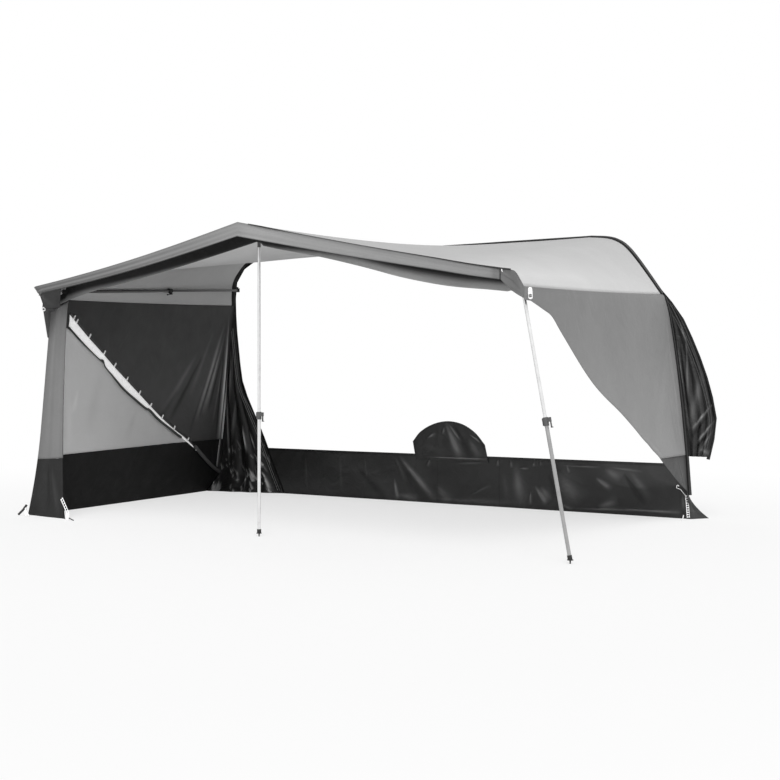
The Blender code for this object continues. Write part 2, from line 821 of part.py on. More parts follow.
def casting(name, centre, arms, slot="casting_plastic"):
    """A hub with a collar and a spigot for each tube, and a thin stay out to the fascia."""
    centre = Vector(centre)
    joined = [capped(name, ball_profile(casting_radius))]
    for target, kind in arms:
        away = (Vector(target) - centre).normalized()
        if kind == "stay":
            lean = math.hypot(away.x, away.z) / -away.y
            end = Vector(target) - centre - away * (stay_radius * lean + hang_gap)
            joined.append(rod_mesh(name, Vector(), end, stay_radius, 10))
            continue
        reach = leg_neck if kind == "leg" else collar_length
        fit = (slim_radius if kind == "leg" else tube_radius) - tube_wall - spigot_clearance
        neck = tube_radius if kind == "leg" else collar_radius
        joined.append(rod_mesh(name, Vector(), away * reach, neck))
        joined.append(rod_mesh(name, away * (reach - overrun), away * (reach + spigot_length), fit))
    return combined(name, joined, [], slot, Matrix.Translation(centre))


def ball_profile(radius, steps=5):
    turns = [math.pi * (k + 0.5) / (steps + 1) for k in range(steps + 1)]
    return [(radius * math.sin(t), -radius * math.cos(t)) for t in turns]


def clamp_pieces(name, place):
    """A lever clamp on a tube's end. Z is the tube's axis, its end at zero; the lever is on +X."""
    inside = tube_radius + clamp_fit
    throat = slim_radius + clamp_fit
    body = [
        turned(name, [(throat, 0), (throat, clamp_crown), (clamp_radius - clamp_fit, clamp_crown),
                      (clamp_radius, clamp_crown - overrun), (clamp_radius, -clamp_skirt),
                      (inside, -clamp_skirt), (inside, clamp_fit), (throat, clamp_fit)][1:], 16),
        box_mesh(name, (-clamp_back, -clamp_back_width / 2, -clamp_skirt + overrun),
                 (-clamp_radius + tube_wall, clamp_back_width / 2, clamp_crown - overrun), tube_wall),
    ]
    for turn in (-1, 1):
        inner, outer = sorted((turn * (ear_spread / 2 - ear_thickness), turn * ear_spread / 2))
        root = math.sqrt(clamp_radius**2 - (ear_spread / 2) ** 2) - tube_wall
        body.append(box_mesh(name, (root, inner, -ear_low), (ear_reach, outer, ear_high)))
    middle = Vector((pin_offset, 0, pin_height))
    across = Vector((0, ear_spread, 0))
    hole = rod_mesh(name, middle - across, middle + across, pin_radius + pin_clearance, 10)
    combined(name, body, [hole], "clamp_plastic", place)

    lever_name = name.replace("_clamp_", "_lever_")
    half = (ear_spread / 2 - ear_thickness) - clamp_fit
    side = Vector((0, half, 0))
    pin = Vector((0, ear_spread / 2, 0))
    low = -lever_length - pin_height
    lever = [
        rod_mesh(lever_name, -side, side, cam_radius, 14),
        rod_mesh(lever_name, -pin, pin, pin_radius, 10),
        box_mesh(lever_name, (cam_radius - lever_thickness, -half, low), (cam_radius, half, 0)),
        box_mesh(lever_name, (cam_radius - lever_thickness, -lever_width / 2, low),
                 (cam_radius + lever_lip, lever_width / 2, low + lever_lip)),
    ]
    combined(lever_name, lever, [], "clamp_plastic", place @ Matrix.Translation(middle))


def foot_piece(name, tip, leg_direction):
    """A cup on the tube's end, its plate level with the ground and a short spike below it."""
    tip = Vector(tip)
    axis = Vector(leg_direction).normalized()
    plate = foot_clearance
    start = Vector((0, 0, plate))
    bore_start = start + axis * foot_cup_floor
    plate_top = plate + foot_plate_thickness
    joined = [
        capped(name, [(spike_tip_radius, 0), (spike_radius, plate), (foot_plate_radius, plate),
                      (foot_plate_radius, plate_top), (spike_radius, plate_top)]),
        rod_mesh(name, start + axis * tube_wall, start + axis * foot_cup_height, foot_cup_radius, 16),
    ]
    bore = rod_mesh(name, bore_start, start + axis * (foot_cup_height + overrun), foot_bore_radius, 16)
    combined(name, joined, [bore], "casting_plastic", Matrix.Translation(tip))
    return tip + bore_start


def leg_pieces(name, top, tip):
    """A foot, the lower tube, its lever clamp and the slimmer upper tube that slides in it."""
    top, tip = Vector(top), Vector(tip)
    axis = (top - (tip + Vector((0, 0, foot_clearance)))).normalized()
    foot_seat = foot_piece(f"leg_foot_{name}", tip, axis) + axis * hang_gap
    clamp_at = foot_seat + axis * ((clamp_height - foot_seat.z) / axis.z)
    tube(f"leg_lower_tube_{name}", foot_seat, clamp_at, tube_radius)
    seat = top - axis * (leg_neck + hang_gap)
    tube(f"leg_upper_tube_{name}", clamp_at - axis * leg_insertion, seat, slim_radius)
    clamp_pieces(f"leg_clamp_{name}", along_axis(clamp_at, axis))


def rafter_pieces(name, front, rear, down):
    """A front tube on its casting, its lever clamp, and the slimmer rear tube with the rail claw."""
    front, rear = Vector(front), Vector(rear)
    axis = (rear - front).normalized()
    start = front + axis * (collar_length + hang_gap)
    middle = front + (rear - front) * rafter_clamp_share
    tube(f"rafter_front_tube_{name}", start, middle, tube_radius)
    lean = math.hypot(axis.x, axis.z) / axis.y
    end = rear - axis * (claw_depth + slim_radius * lean + hang_gap)
    tube(f"rafter_rear_tube_{name}", middle - axis * rafter_overlap, end, slim_radius)
    clamp_pieces(f"rafter_clamp_{name}", along_axis(middle, axis, down))
    half = claw_width / 2
    finger_top = claw_height / 2 + claw_finger
    pad_low = (-half, -claw_depth, -claw_height / 2)
    pad_high = (half, 0, claw_height / 2)
    joined = [
        box_mesh(name, pad_low, pad_high, tube_wall * 2),
        rod_mesh(name, -axis * overrun, -axis * (claw_depth + spigot_length / 2),
                 slim_radius - tube_wall - spigot_clearance),
        box_mesh(name, (-claw_finger / 2, -claw_depth, 0), (claw_finger / 2, -claw_depth / 2, finger_top)),
    ]
    combined(f"rail_claw_{name}", joined, [], "casting_plastic", Matrix.Translation(rear))


def roof_point(grid, share, reach):
    """The roof's point a share of the way from rail to visor and a distance out from the ridge."""
    columns = grid.reshape(len(grid), -1).T
    line = np.array([np.interp(share, row_shares, column) for column in columns]).reshape(-1, 3)
    return np.array([np.interp(reach, line[:, 0], line[:, axis]) for axis in range(3)])


def under_roof(side, front, rear):
    """The rear end of a side rafter, lowered where the roof would come too near its clamp."""
    at = blend(front, rear, rafter_clamp_share)
    along = (depth - at[1]) / (depth - front_set_back(side, at[0]))
    room = roof_point(roof_grid(side, "side"), along, at[0])[2] - at[2]
    short = max(clamp_back + rafter_clearance - room, 0)
    return rear - (0, 0, short / rafter_clamp_share)


def frame_pieces():
    """Castings, front bars, legs and rafters, placed from the roof that they hold up."""
    places = {}
    stays = {}
    rears = {}
    for name, side in sides.items():
        flank = roof_grid(side, "side")
        front = flank[-1, elbow_column]
        at = roof_point(flank, bar_share, casting_reach) - (0, 0, casting_drop)
        turn = np.array([side["turn"], 1, 1])
        places[name] = at * turn
        stay_height = front[2] - fascia_end_height / 3
        stays[name] = np.array([casting_reach - stay_inset, front[1], stay_height]) * turn
        rear = flank[0, elbow_column - 1] - (rafter_rear_inward, hang_gap, side["rafter_drop"])
        rears[name] = under_roof(side, at, rear) * turn
    ridge = roof_point(roof_grid(sides["right"], "main"), bar_share, 0)
    places["middle"] = ridge - (0, 0, casting_drop)
    stays["middle"] = np.array([0, -visor_reach, peak_height - fascia_height / 4])
    rears["middle"] = np.array([0, depth - hang_gap, rail_top - rafter_rear_drop])

    feet = {"middle": (0, 0, 0)}
    for name, side in sides.items():
        feet[name] = (side["foot"][0] * side["turn"], side["foot"][1], 0)

    for name, centre in places.items():
        others = ["left", "right"] if name == "middle" else ["middle"]
        foot = Vector(feet[name]) + Vector((0, 0, foot_clearance))
        arms = [(places[other], "bar") for other in others]
        arms += [(rears[name], "rafter"), (foot, "leg"), (stays[name], "stay")]
        label = "peak_casting" if name == "middle" else f"corner_casting_{name}"
        casting(label, centre, arms)
        leg_pieces(name, centre, feet[name])
        rafter_pieces(name, centre, rears[name], (0, 0, -1))
    for name in sides:
        start, end = Vector(places["middle"]), Vector(places[name])
        away = (end - start).normalized() * (collar_length + hang_gap)
        tube(f"front_bar_{name}", start + away, end - away, tube_radius)


def ladder_strap(name, top, bottom, facing):
    """A flat strap with a row of peg slots, like a small ladder."""
    top, bottom = Vector(top), Vector(bottom)
    length = (bottom - top).length
    rungs = int(length / strap_pitch)
    stops = [0.0]
    for k in range(rungs):
        stops += [k * strap_pitch + strap_rung, (k + 1) * strap_pitch]
    half = strap_width / 2
    across = [-half, strap_rung - half, half - strap_rung, half]
    rows = range(len(stops) - 1)
    full = {(row, column) for row in rows for column in range(3) if column != 1 or row % 2 == 0}
    points = [(x, y, z) for y in (0, strap_thickness) for z in stops for x in across]
    layer = len(stops) * 4
    faces = []
    for row, column in full:
        ring = [row * 4 + column, row * 4 + column + 1, (row + 1) * 4 + column + 1, (row + 1) * 4 + column]
        faces.append(ring)
        faces.append([layer + k for k in reversed(ring)])
        for a, b, beside in ((0, 1, (row - 1, column)), (1, 2, (row, column + 1)),
                             (2, 3, (row + 1, column)), (3, 0, (row, column - 1))):
            if beside not in full:
                faces.append([ring[b], ring[a], layer + ring[a], layer + ring[b]])
    mesh = mesh_from(name, points, faces)
    add_object(name, mesh, "strap_rubber", along_axis(top, bottom - top, facing))


def straps():
    """Peg straps at the hem corners of the front return and at the right wing's point."""
    left = sides["left"]
    base = place_side(return_grid([0.1, 0.0]), left)
    forward = cloth_wall / 2 + 2 * hang_gap
    reach = strap_pitch * strap_reach_pitches
    for name, column, way in (("inner", -1, reach), ("outer", 0, -reach)):
        top = base[0, column] - (0, forward, 0)
        peg = base[1, column] + (way, -forward - reach / 2, strap_thickness)
        ladder_strap(f"ladder_strap_return_{name}", top, peg, Vector((1, 0, 0)))
    hem = place_side(mud_hem_grid(sides["right"]), sides["right"])
    top = hem[5, 0] + (forward, -strap_width / 2, 0)
    peg = (top[0] + forward, top[1] - strap_pitch, strap_pitch / 2)
    ladder_strap("ladder_strap_wing", top, peg, Vector((0, 1, 0)))


def main():
    clear_scene()
    roof_pieces()
    fascia_pieces()
    cap_pieces()
    valance_piece()
    wing_pieces()
    mud_hems()
    rail_flaps()
    side_panel_pieces()
    return_pieces()
    skirt_pieces()
    beading_piece()
    frame_pieces()
    straps()


main()
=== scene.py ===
import math

import bpy
import numpy as np
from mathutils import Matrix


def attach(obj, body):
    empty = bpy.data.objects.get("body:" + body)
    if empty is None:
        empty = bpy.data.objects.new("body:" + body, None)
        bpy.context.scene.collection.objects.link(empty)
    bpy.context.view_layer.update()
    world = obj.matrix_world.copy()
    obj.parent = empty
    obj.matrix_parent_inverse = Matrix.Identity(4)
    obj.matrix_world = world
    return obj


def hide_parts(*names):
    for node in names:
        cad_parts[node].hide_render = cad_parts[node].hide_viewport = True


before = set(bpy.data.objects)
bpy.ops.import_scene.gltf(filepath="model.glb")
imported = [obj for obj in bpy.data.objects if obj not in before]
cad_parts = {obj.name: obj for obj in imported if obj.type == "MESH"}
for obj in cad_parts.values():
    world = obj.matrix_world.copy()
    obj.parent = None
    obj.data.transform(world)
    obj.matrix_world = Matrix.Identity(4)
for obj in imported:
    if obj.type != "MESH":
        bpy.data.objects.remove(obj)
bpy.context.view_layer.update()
print("frame loaded")


def addObject(name, data):
    thing = bpy.data.objects.new(name, data)
    bpy.context.scene.collection.objects.link(thing)
    return thing


# Camera: standing off the right front corner, about half as high as the rail
view = {"place": (5.695, -7.17, 1.177), "turn": 32.4, "focal": 1233, "horizon": 377, "width": 780, "sensor": 36}
camera = addObject("camera", bpy.data.cameras.new("camera"))
camera.location = view["place"]
camera.rotation_euler = (math.radians(90), 0, math.radians(view["turn"]))
camera.data.sensor_width = view["sensor"]
camera.data.lens = view["sensor"] * view["focal"] / view["width"]
camera.data.shift_y = (view["horizon"] - view["width"] / 2) / view["width"]
bpy.context.scene.camera = camera
bpy.context.scene.view_settings.view_transform = "Standard"

# Sizes in metres: +X to the right, +Y to the rear, where the rail is; the poles stand at y = 0
awning = {
    "depth": 2.78, "railHalf": 2.545, "railTop": 2.39, "eavesKnot": 5, "peak": 2.295, "visor": 0.25, "corner": 2.24,
    "rightCorner": 1.84, "crease": 1.65, "eavesFall": 0.092, "mud": 0.53, "tail": 0.2, "skirt": 0.455,
    "ridgeSag": 0.031, "eavesSag": 0.01, "valanceAt": 0.12, "wall": 0.0015, "gap": 0.0004, "overFloor": 0.0012,
}
depth, visor, wall, gap = (awning[key] for key in ("depth", "visor", "wall", "gap"))
# Each side: the rail's outline as shares of its size, the visor's corner, and how the wall and its hem lean out
right = {
    "name": "right", "turn": 1, "corner": 1.84, "setBack": 0.0, "edgeSag": 0.012, "flare": 0.24, "flareFront": 0.05,
    "flarePower": 0.6, "kick": 0.0, "tailOut": 0.11, "tailBack": 0.14, "seed": 3,
    "rail": [(0.57, 1), (0.628, 0.993), (0.664, 0.981), (0.698, 0.956), (0.742, 0.9), (0.82, 0.783),
             (0.874, 0.715), (0.925, 0.603), (0.965, 0.49), (0.99, 0.385), (0.994, 0.318), (0.972, 0.209)],
    "nose": [(0, 0), (0.42, 0.25), (0.79, 0.44), (0.955, 0.52), (1, 0.62)],
}
left = {
    "name": "left", "turn": -1, "corner": 1.92, "setBack": 0.1, "edgeSag": 0.028, "flare": 0.22, "flareFront": 1.0,
    "flarePower": 1.0, "kick": 0.09, "tailOut": 0.0, "tailBack": -0.2, "seed": 8,
    "rail": [(0.864, 1), (0.917, 0.988), (0.955, 0.954), (0.986, 0.908), (0.994, 0.862), (0.994, 0.803),
             (0.99, 0.715), (0.978, 0.607), (0.958, 0.469), (0.914, 0.368), (0.86, 0.26), (0.803, 0.13), (0.743, 0)],
    "nose": [(0, 0), (0.42, 0.2), (0.79, 0.36), (0.955, 0.43), (1, 0.47)],
}
for side in (left, right):
    side["rail"] = np.array(side["rail"]) * (awning["railHalf"], awning["railTop"])
cornerShape = [(0, 0), (0.42, 0.26), (0.79, 0.495), (0.945, 0.66), (1, 1)]
# the wings' free edge as shares of the depth and the right corner's height
freeEdge = np.array([(-0.012, 0.905), (0.06, 0.88), (0.11, 0.86), (0.16, 0.812), (0.24, 0.742), (0.356, 0.647),
          (0.51, 0.521), (0.64, 0.412), (0.773, 0.304), (0.95, 0.152), (1.035, 0.098)]) * (depth, awning["rightCorner"])
# where the valance and the nose's corner stand on the way from the rail to the visor's edge
visorShare = (depth + awning["valanceAt"] * visor) / (depth + visor)
noseShare = (1 + visorShare) / 2


def shares(count, end=1.0):
    return np.linspace(0, end, count)


def column(count):
    return shares(count)[:, None]


def points(*axes):
    return np.stack(np.broadcast_arrays(*axes), axis=-1)


def mix(a, b, share):
    return a + (b - a) * share


def smoothStep(x, low, high):
    t = np.clip((x - low) / (high - low), 0, 1)
    return t * t * (3 - 2 * t)


def runAlong(grid, axis):
    # distance from the first point along each row (axis 1) or column (axis 0)
    step = np.linalg.norm(np.diff(grid, axis=axis), axis=-1)
    return np.insert(np.cumsum(step, axis=axis), 0, 0, axis=axis)


def smoothThrough(knots, samples):
    # Catmull-Rom curve through the knots, read off by length at the shares given, or at that many even ones
    samples = np.asarray(samples, float) if np.ndim(samples) else shares(samples)
    knots = np.asarray(knots, float)
    ends = np.vstack([2 * knots[0] - knots[1], knots, 2 * knots[-1] - knots[-2]])
    t = column(33)[:-1]
    a, b, c, d = ends[:-3, None], ends[1:-2, None], ends[2:-1, None], ends[3:, None]
    fine = 0.5 * (2 * b + (c - a) * t + (2 * a - 5 * b + 4 * c - d) * t**2 + (3 * b - a - 3 * c + d) * t**3)
    fine = np.vstack([fine.reshape(-1, knots.shape[1]), knots[-1:]])
    length = runAlong(fine, 0)
    return np.stack([np.interp(samples * length[-1], length, axis) for axis in fine.T], axis=1)


def softNoise(u, v, seed, octaves=4, roughness=0.55):
    # sum of sines in turned directions, each warped by the one before: smooth, wide ranging and repeatable
    dice = np.random.default_rng(seed)
    total = np.zeros(np.broadcast(u, v).shape)
    warp = np.zeros_like(total)
    weight = 1.0
    for octave in range(octaves):
        for turn in dice.uniform(0, math.pi, 3):
            pitch = 2.0**octave * dice.uniform(0.8, 1.25)
            wave = np.sin(pitch * (u * math.cos(turn) + v * math.sin(turn)) + warp + dice.uniform(0, 6.28))
            warp = warp + wave * 0.8
            total = total + wave * weight / 3
        weight *= roughness
    return total


def foldField(u, v, folds, wider=1.0):
    # sum of ridges, each a bell across a line that swells in the middle and dies at its ends;
    # a row holds the line's start and end, its width and its rise, all in thousandths
    total = np.zeros(np.broadcast(u, v).shape)
    for startU, startV, endU, endV, width, rise in np.array(folds) / 1000:
        runU, runV = endU - startU, endV - startV
        along = ((u - startU) * runU + (v - startV) * runV) / (runU**2 + runV**2)
        away = ((u - startU) * runV - (v - startV) * runU) / math.hypot(runU, runV)
        inside = np.sin(np.pi * np.clip(0.5 + (along - 0.5) / 1.2, 0, 1)) ** 0.8
        reach = width * wider * (0.45 + 0.55 * np.clip(along, 0, 1))
        total = total + rise * inside * np.exp(-((away / reach) ** 2))
    return total


def onSide(grid, side):
    return grid * np.array([side["turn"], 1, 1])


def bothSides(build):
    # the two halves from eaves to eaves, which share the column over the ridge
    halves = [onSide(build(side), side) for side in (left, right)]
    return np.concatenate([halves[0][:, :0:-1], halves[1]], axis=1)


def frontLine(side, reach):
    # y and height of the visor's edge: a straight fall from the peak to the corner, less a sine sag
    along = reach / awning["corner"]
    height = mix(awning["peak"], side["corner"], along) - side["edgeSag"] * np.sin(np.pi * along)
    return side["setBack"] * along - visor, height


def cornerOutline(side, samples, shape):
    # the roof's outline at the visor from crease to eaves, through the shape's shares
    start, low = frontLine(side, awning["crease"])[1], side["corner"] - awning["eavesFall"]
    spots = [(mix(awning["crease"], awning["corner"], a), mix(start, low, b)) for a, b in shape]
    flat = smoothThrough(spots, samples)
    return points(flat[:, 0], frontLine(side, flat[:, 0])[0], flat[:, 1])


def roofPart(side, part, across, along):
    # loft from the rail's curve (along 0) to the visor's edge (along 1), less a parabola of sag
    if part == "main":
        rear = points(across * side["rail"][0, 0], depth, side["rail"][0, 1])
        reach = across * awning["crease"]
        front = nose = points(reach, *frontLine(side, reach))
        sag = awning["ridgeSag"]
    else:
        flat = smoothThrough(side["rail"][: awning["eavesKnot"] + 1], across)
        rear = points(flat[:, 0], depth, flat[:, 1])
        front, nose = (cornerOutline(side, across, shape) for shape in (cornerShape, side["nose"]))
        sag = mix(awning["ridgeSag"], awning["eavesSag"], across)
    t = np.asarray(along)[:, None, None]
    # the nose's corner stays up only in the last stretch
    grid = mix(rear, front, t) + (nose - front) * np.clip((t - noseShare) / (1 - noseShare), 0, 1)
    grid[:, :, 2] -= (4 * t * (1 - t))[:, :, 0] * sag
    return grid


def roofStrip(side, mainColumns, sideColumns, along, end=1.0):
    # from the ridge past the crease towards the eaves
    main = roofPart(side, "main", shares(mainColumns), along)
    return np.concatenate([main, roofPart(side, "side", shares(sideColumns, end)[1:], along)], axis=1)


fineAlong = np.concatenate([shares(80, noseShare), np.linspace(noseShare, 1, 7)[1:]])
edgeLine = smoothThrough(freeEdge, 120)
# the right wing bows out below its middle; the left one is cut back at the front to a hanging tip
wingShape = {"bow": 0.065, "bowAt": 1.0, "bowReach": 0.42, "shoulder": 0.14, "shoulderAt": 0.06, "rows": 90, "finer": 4,
             "tip": ([-0.15, -0.035, 0.05], [1.845, 1.744, 1.5])}
# the wall's kick at the ground, its soft hollows, and the drag folds that fan out from a spot behind the rail
wallShape = {"kickTop": 0.75, "kickReach": 0.25, "hollow": 0.006, "drag": 0.005, "dragPitch": 34, "dragBehind": 0.25,
             "dragTop": 2.25}


def eavesLine(side):
    return roofPart(side, "side", np.array([0.0, 1.0]), fineAlong)[:, -1]


def wingLowEdge(side, y):
    low = np.interp(y, *edgeLine.T)
    if side is right:
        return low - wingShape["bow"] * np.exp(-(((y - wingShape["bowAt"]) / wingShape["bowReach"]) ** 2))
    low = low - wingShape["shoulder"] * np.exp(-((y / wingShape["shoulderAt"] - 1) ** 2))
    tip = wingShape["tip"]
    return np.where(y < tip[0][-1], np.interp(y, *tip), low)


def wallX(side, y, z):
    # distance of the side wall from the middle: the eaves' own, plus a lean, a kick towards the ground and folds
    line = eavesLine(side)[::-1]
    topX, topZ = (np.interp(y, line[:, 1], line[:, axis]) for axis in (0, 2))
    lean = side["flare"] * mix(side["flareFront"], 1.0, np.clip(y / depth, 0, 1))
    down = np.clip(1 - z / topZ, 0, 1)
    near = np.exp(-np.abs(y) / wallShape["kickReach"])
    kick = side["kick"] * np.clip(1 - z / wallShape["kickTop"], 0, 1) ** 2 * near
    back, drop = depth + wallShape["dragBehind"] - y, wallShape["dragTop"] - z
    angle = np.arctan2(back, np.maximum(drop, 0.05))
    fan = np.sin(angle * wallShape["dragPitch"] + 2.2 * np.sin(angle * 11))
    fan = fan * smoothStep(np.hypot(back, drop), 0.2, 1.1) * smoothStep(angle, 1.1, 0.15)
    fold = wallShape["hollow"] * softNoise(y * 2.2, z * 1.6, side["seed"], 3) + wallShape["drag"] * fan
    return topX + lean * down ** side["flarePower"] + kick + fold * np.sqrt(down * np.clip(1 - down * 0.6, 0, 1))


def wallGrid(side, y, low, high, rows):
    height = mix(low, high, column(rows))
    return points(wallX(side, y, height), y, height)


# Meshes


def gridMesh(name, grid, tones):
    # faces between neighbouring grid points, a UV map in metres, the distance to the nearest border and the tones
    rows, columns = grid.shape[:2]
    index = np.arange(rows * columns).reshape(rows, columns)
    faces = np.stack([index[:-1, :-1], index[:-1, 1:], index[1:, 1:], index[1:, :-1]], axis=-1).reshape(-1, 4)
    mesh = bpy.data.meshes.new(name)
    mesh.from_pydata(grid.reshape(-1, 3).tolist(), [], faces.tolist())
    u, v = runAlong(grid, 1), runAlong(grid, 0)
    flat = points(u.mean(0), v.mean(1)[:, None]).reshape(-1, 2)
    mesh.uv_layers.new(name="cloth").data.foreach_set("uv", flat[faces.ravel()].ravel())
    edge = np.minimum(np.minimum(u, u[:, -1:] - u), np.minimum(v, v[-1:] - v))
    for attribute, value in {"edge": edge, **tones}.items():
        layer = mesh.attributes.new(attribute, "FLOAT", "POINT")
        layer.data.foreach_set("value", value.ravel().astype(np.float32))
    mesh.shade_smooth()
    return mesh


def gridArea(grid):
    a, b, c, d = grid[:-1, :-1], grid[:-1, 1:], grid[1:, 1:], grid[1:, :-1]
    return float(np.linalg.norm(np.cross(c - a, d - b), axis=-1).sum() / 2)


def onCanopy(piece, nodes):
    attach(piece, "canopy")
    if nodes:
        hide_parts(*nodes)


# a tapered sheet is declared narrower than its longest row, so that it fills this share of its flat size
sheetFill = 0.32


def clothPiece(name, grid, cloth, inner=None, thick=wall, flip=False, tone=1.0, innerTone=None,
               nodes=()):
    grid = np.array(grid, float)
    grid[..., 2] = np.maximum(grid[..., 2], awning["overFloor"])
    tones = {"tone": tone, "innerTone": tone if innerTone is None else innerTone}
    tones = {key: np.broadcast_to(value, grid.shape[:2]) for key, value in tones.items()}
    if flip:
        grid, tones = grid[:, ::-1], {key: value[:, ::-1] for key, value in tones.items()}
    piece = addObject(name, gridMesh(name, grid, tones))
    piece.data.materials.append(cloths[cloth])
    solid = piece.modifiers.new("thickness", "SOLIDIFY")
    solid.thickness = thick
    solid.offset = 0
    if inner is not None:
        piece.data.materials.append(cloths[inner])
        solid.material_offset = 1
        solid.material_offset_rim = 0
    onCanopy(piece, nodes)
    width, length = float(runAlong(grid, 1).max()), float(runAlong(grid, 0).max())
    area = gridArea(grid)
    width = min(width, area / (sheetFill * length))


def tubeShape(path, radius, sides=10, up=(0, 1, 0)):
    # a ring carried along the path, at right angles to it, closed at both ends
    path = np.asarray(path, float)
    run = np.gradient(path, axis=0)
    run = run / np.linalg.norm(run, axis=1, keepdims=True)
    across = np.cross(run, up)
    across = across / np.linalg.norm(across, axis=1, keepdims=True)
    lift = np.cross(across, run)
    turn = np.linspace(0, 2 * math.pi, sides, endpoint=False)[None, :, None]
    reach = np.broadcast_to(radius, (len(path),))[:, None, None]
    ring = path[:, None] + reach * (across[:, None] * np.cos(turn) + lift[:, None] * np.sin(turn))
    index = np.arange(len(path) * sides).reshape(len(path), sides)
    onward = np.roll(index, -1, axis=1)
    faces = np.stack([index[:-1], index[1:], onward[1:], onward[:-1]], axis=-1).reshape(-1, 4).tolist()
    return ring.reshape(-1, 3), faces + [index[0].tolist(), index[-1][::-1].tolist()]


def slabShape(size, corner, middle, alongU, alongV, thick):
    # a superellipse, near square for a small corner value, in the plane of two directions, given a thickness
    turn = np.linspace(0, 2 * math.pi, 24, endpoint=False)[:, None]
    wave = np.hstack([np.cos(turn), np.sin(turn)])
    outline = np.sign(wave) * np.abs(wave) ** corner * (size[0] / 2, size[1] / 2)
    flat = np.array(middle) + outline[:, :1] * alongU + outline[:, 1:] * alongV
    away = np.cross(alongU, alongV) * thick / 2
    first = np.arange(len(flat))
    onward = np.roll(first, -1)
    sides = np.stack([first, onward, onward + len(flat), first + len(flat)], axis=-1).tolist()
    return np.concatenate([flat - away, flat + away]), sides + [first[::-1].tolist(), (first + len(flat)).tolist()]


def hardPiece(name, shapes, finish, nodes=()):
    # several closed shapes joined in one mesh
    corners, faces, start = [], [], 0
    for spots, sides in shapes:
        corners.append(spots)
        faces += [[corner + start for corner in side] for side in sides]
        start += len(spots)
    mesh = bpy.data.meshes.new(name)
    mesh.from_pydata(np.concatenate(corners).tolist(), [], faces)
    mesh.shade_smooth()
    mesh.set_sharp_from_angle(angle=math.radians(50))
    piece = addObject(name, mesh)
    mesh.materials.append(finishes[finish])
    onCanopy(piece, nodes)


def tube(name, path, radius, finish, sides=10, up=(0, 1, 0)):
    hardPiece(name, [tubeShape(path, radius, sides, up)], finish)


# Materials


def feed(socket, value):
    # another node's output is linked, anything else is set
    if isinstance(value, bpy.types.NodeSocket):
        socket.id_data.links.new(value, socket)
    else:
        socket.default_value = value


def addNode(tree, kind, values=(), **settings):
    node = tree.nodes.new(f"ShaderNode{kind}")
    for name, value in settings.items():
        setattr(node, name, value)
    for socket, value in dict(values).items():
        feed(node.inputs[socket], value)
    return node


def maths(operation, *values):
    tree = next(value.id_data for value in values if isinstance(value, bpy.types.NodeSocket))
    return addNode(tree, "Math", enumerate(values), operation=operation).outputs[0]


def times(first, second):
    return maths("MULTIPLY", first, second)


def plus(first, second):
    return maths("ADD", first, second)


def spread(value, low, high, lowOut, highOut):
    values = {"Value": value, "From Min": low, "From Max": high, "To Min": lowOut, "To Max": highOut}
    return addNode(value.id_data, "MapRange", values).outputs["Result"]


def noise(vector, scale, detail=3.0, distortion=0.0):
    values = {"Vector": vector, "Scale": scale, "Detail": detail, "Distortion": distortion}
    return addNode(vector.id_data, "TexNoise", values).outputs["Fac"]


def grey(level):
    # an 8-bit grey level as linear colour
    return (((level / 255 + 0.055) / 1.055) ** 2.4,) * 3


def newMaterial(name, look):
    material = bpy.data.materials.new(name)
    material.use_nodes = True
    tree = material.node_tree
    shader = tree.nodes["Principled BSDF"]
    values = {"Roughness": look["roughness"], "Metallic": look.get("metallic", 0), "Coat Roughness": 0.25,
              "Sheen Weight": look.get("sheen", 0), "Sheen Roughness": 0.5, "Coat Weight": look.get("coat", 0),
              "Specular IOR Level": look.get("specular", 0.5)}
    for socket, value in values.items():
        feed(shader.inputs[socket], value)
    return material, shader, addNode(tree, "TexCoord").outputs["Object"]


def painted(shader, level, factor, roughness):
    # base colour times a factor that varies over the surface, and a roughness that varies too
    tint = addNode(shader.id_data, "VectorMath", {0: grey(level), "Scale": factor}, operation="SCALE")
    feed(shader.inputs["Base Color"], tint.outputs["Vector"])
    feed(shader.inputs["Roughness"], roughness)


def bumped(shader, height, strength, distance, before=None):
    values = {"Strength": strength, "Distance": distance, "Height": height}
    if before is not None:
        values["Normal"] = before
    normal = addNode(shader.id_data, "Bump", values).outputs["Normal"]
    feed(shader.inputs["Normal"], normal)
    return normal


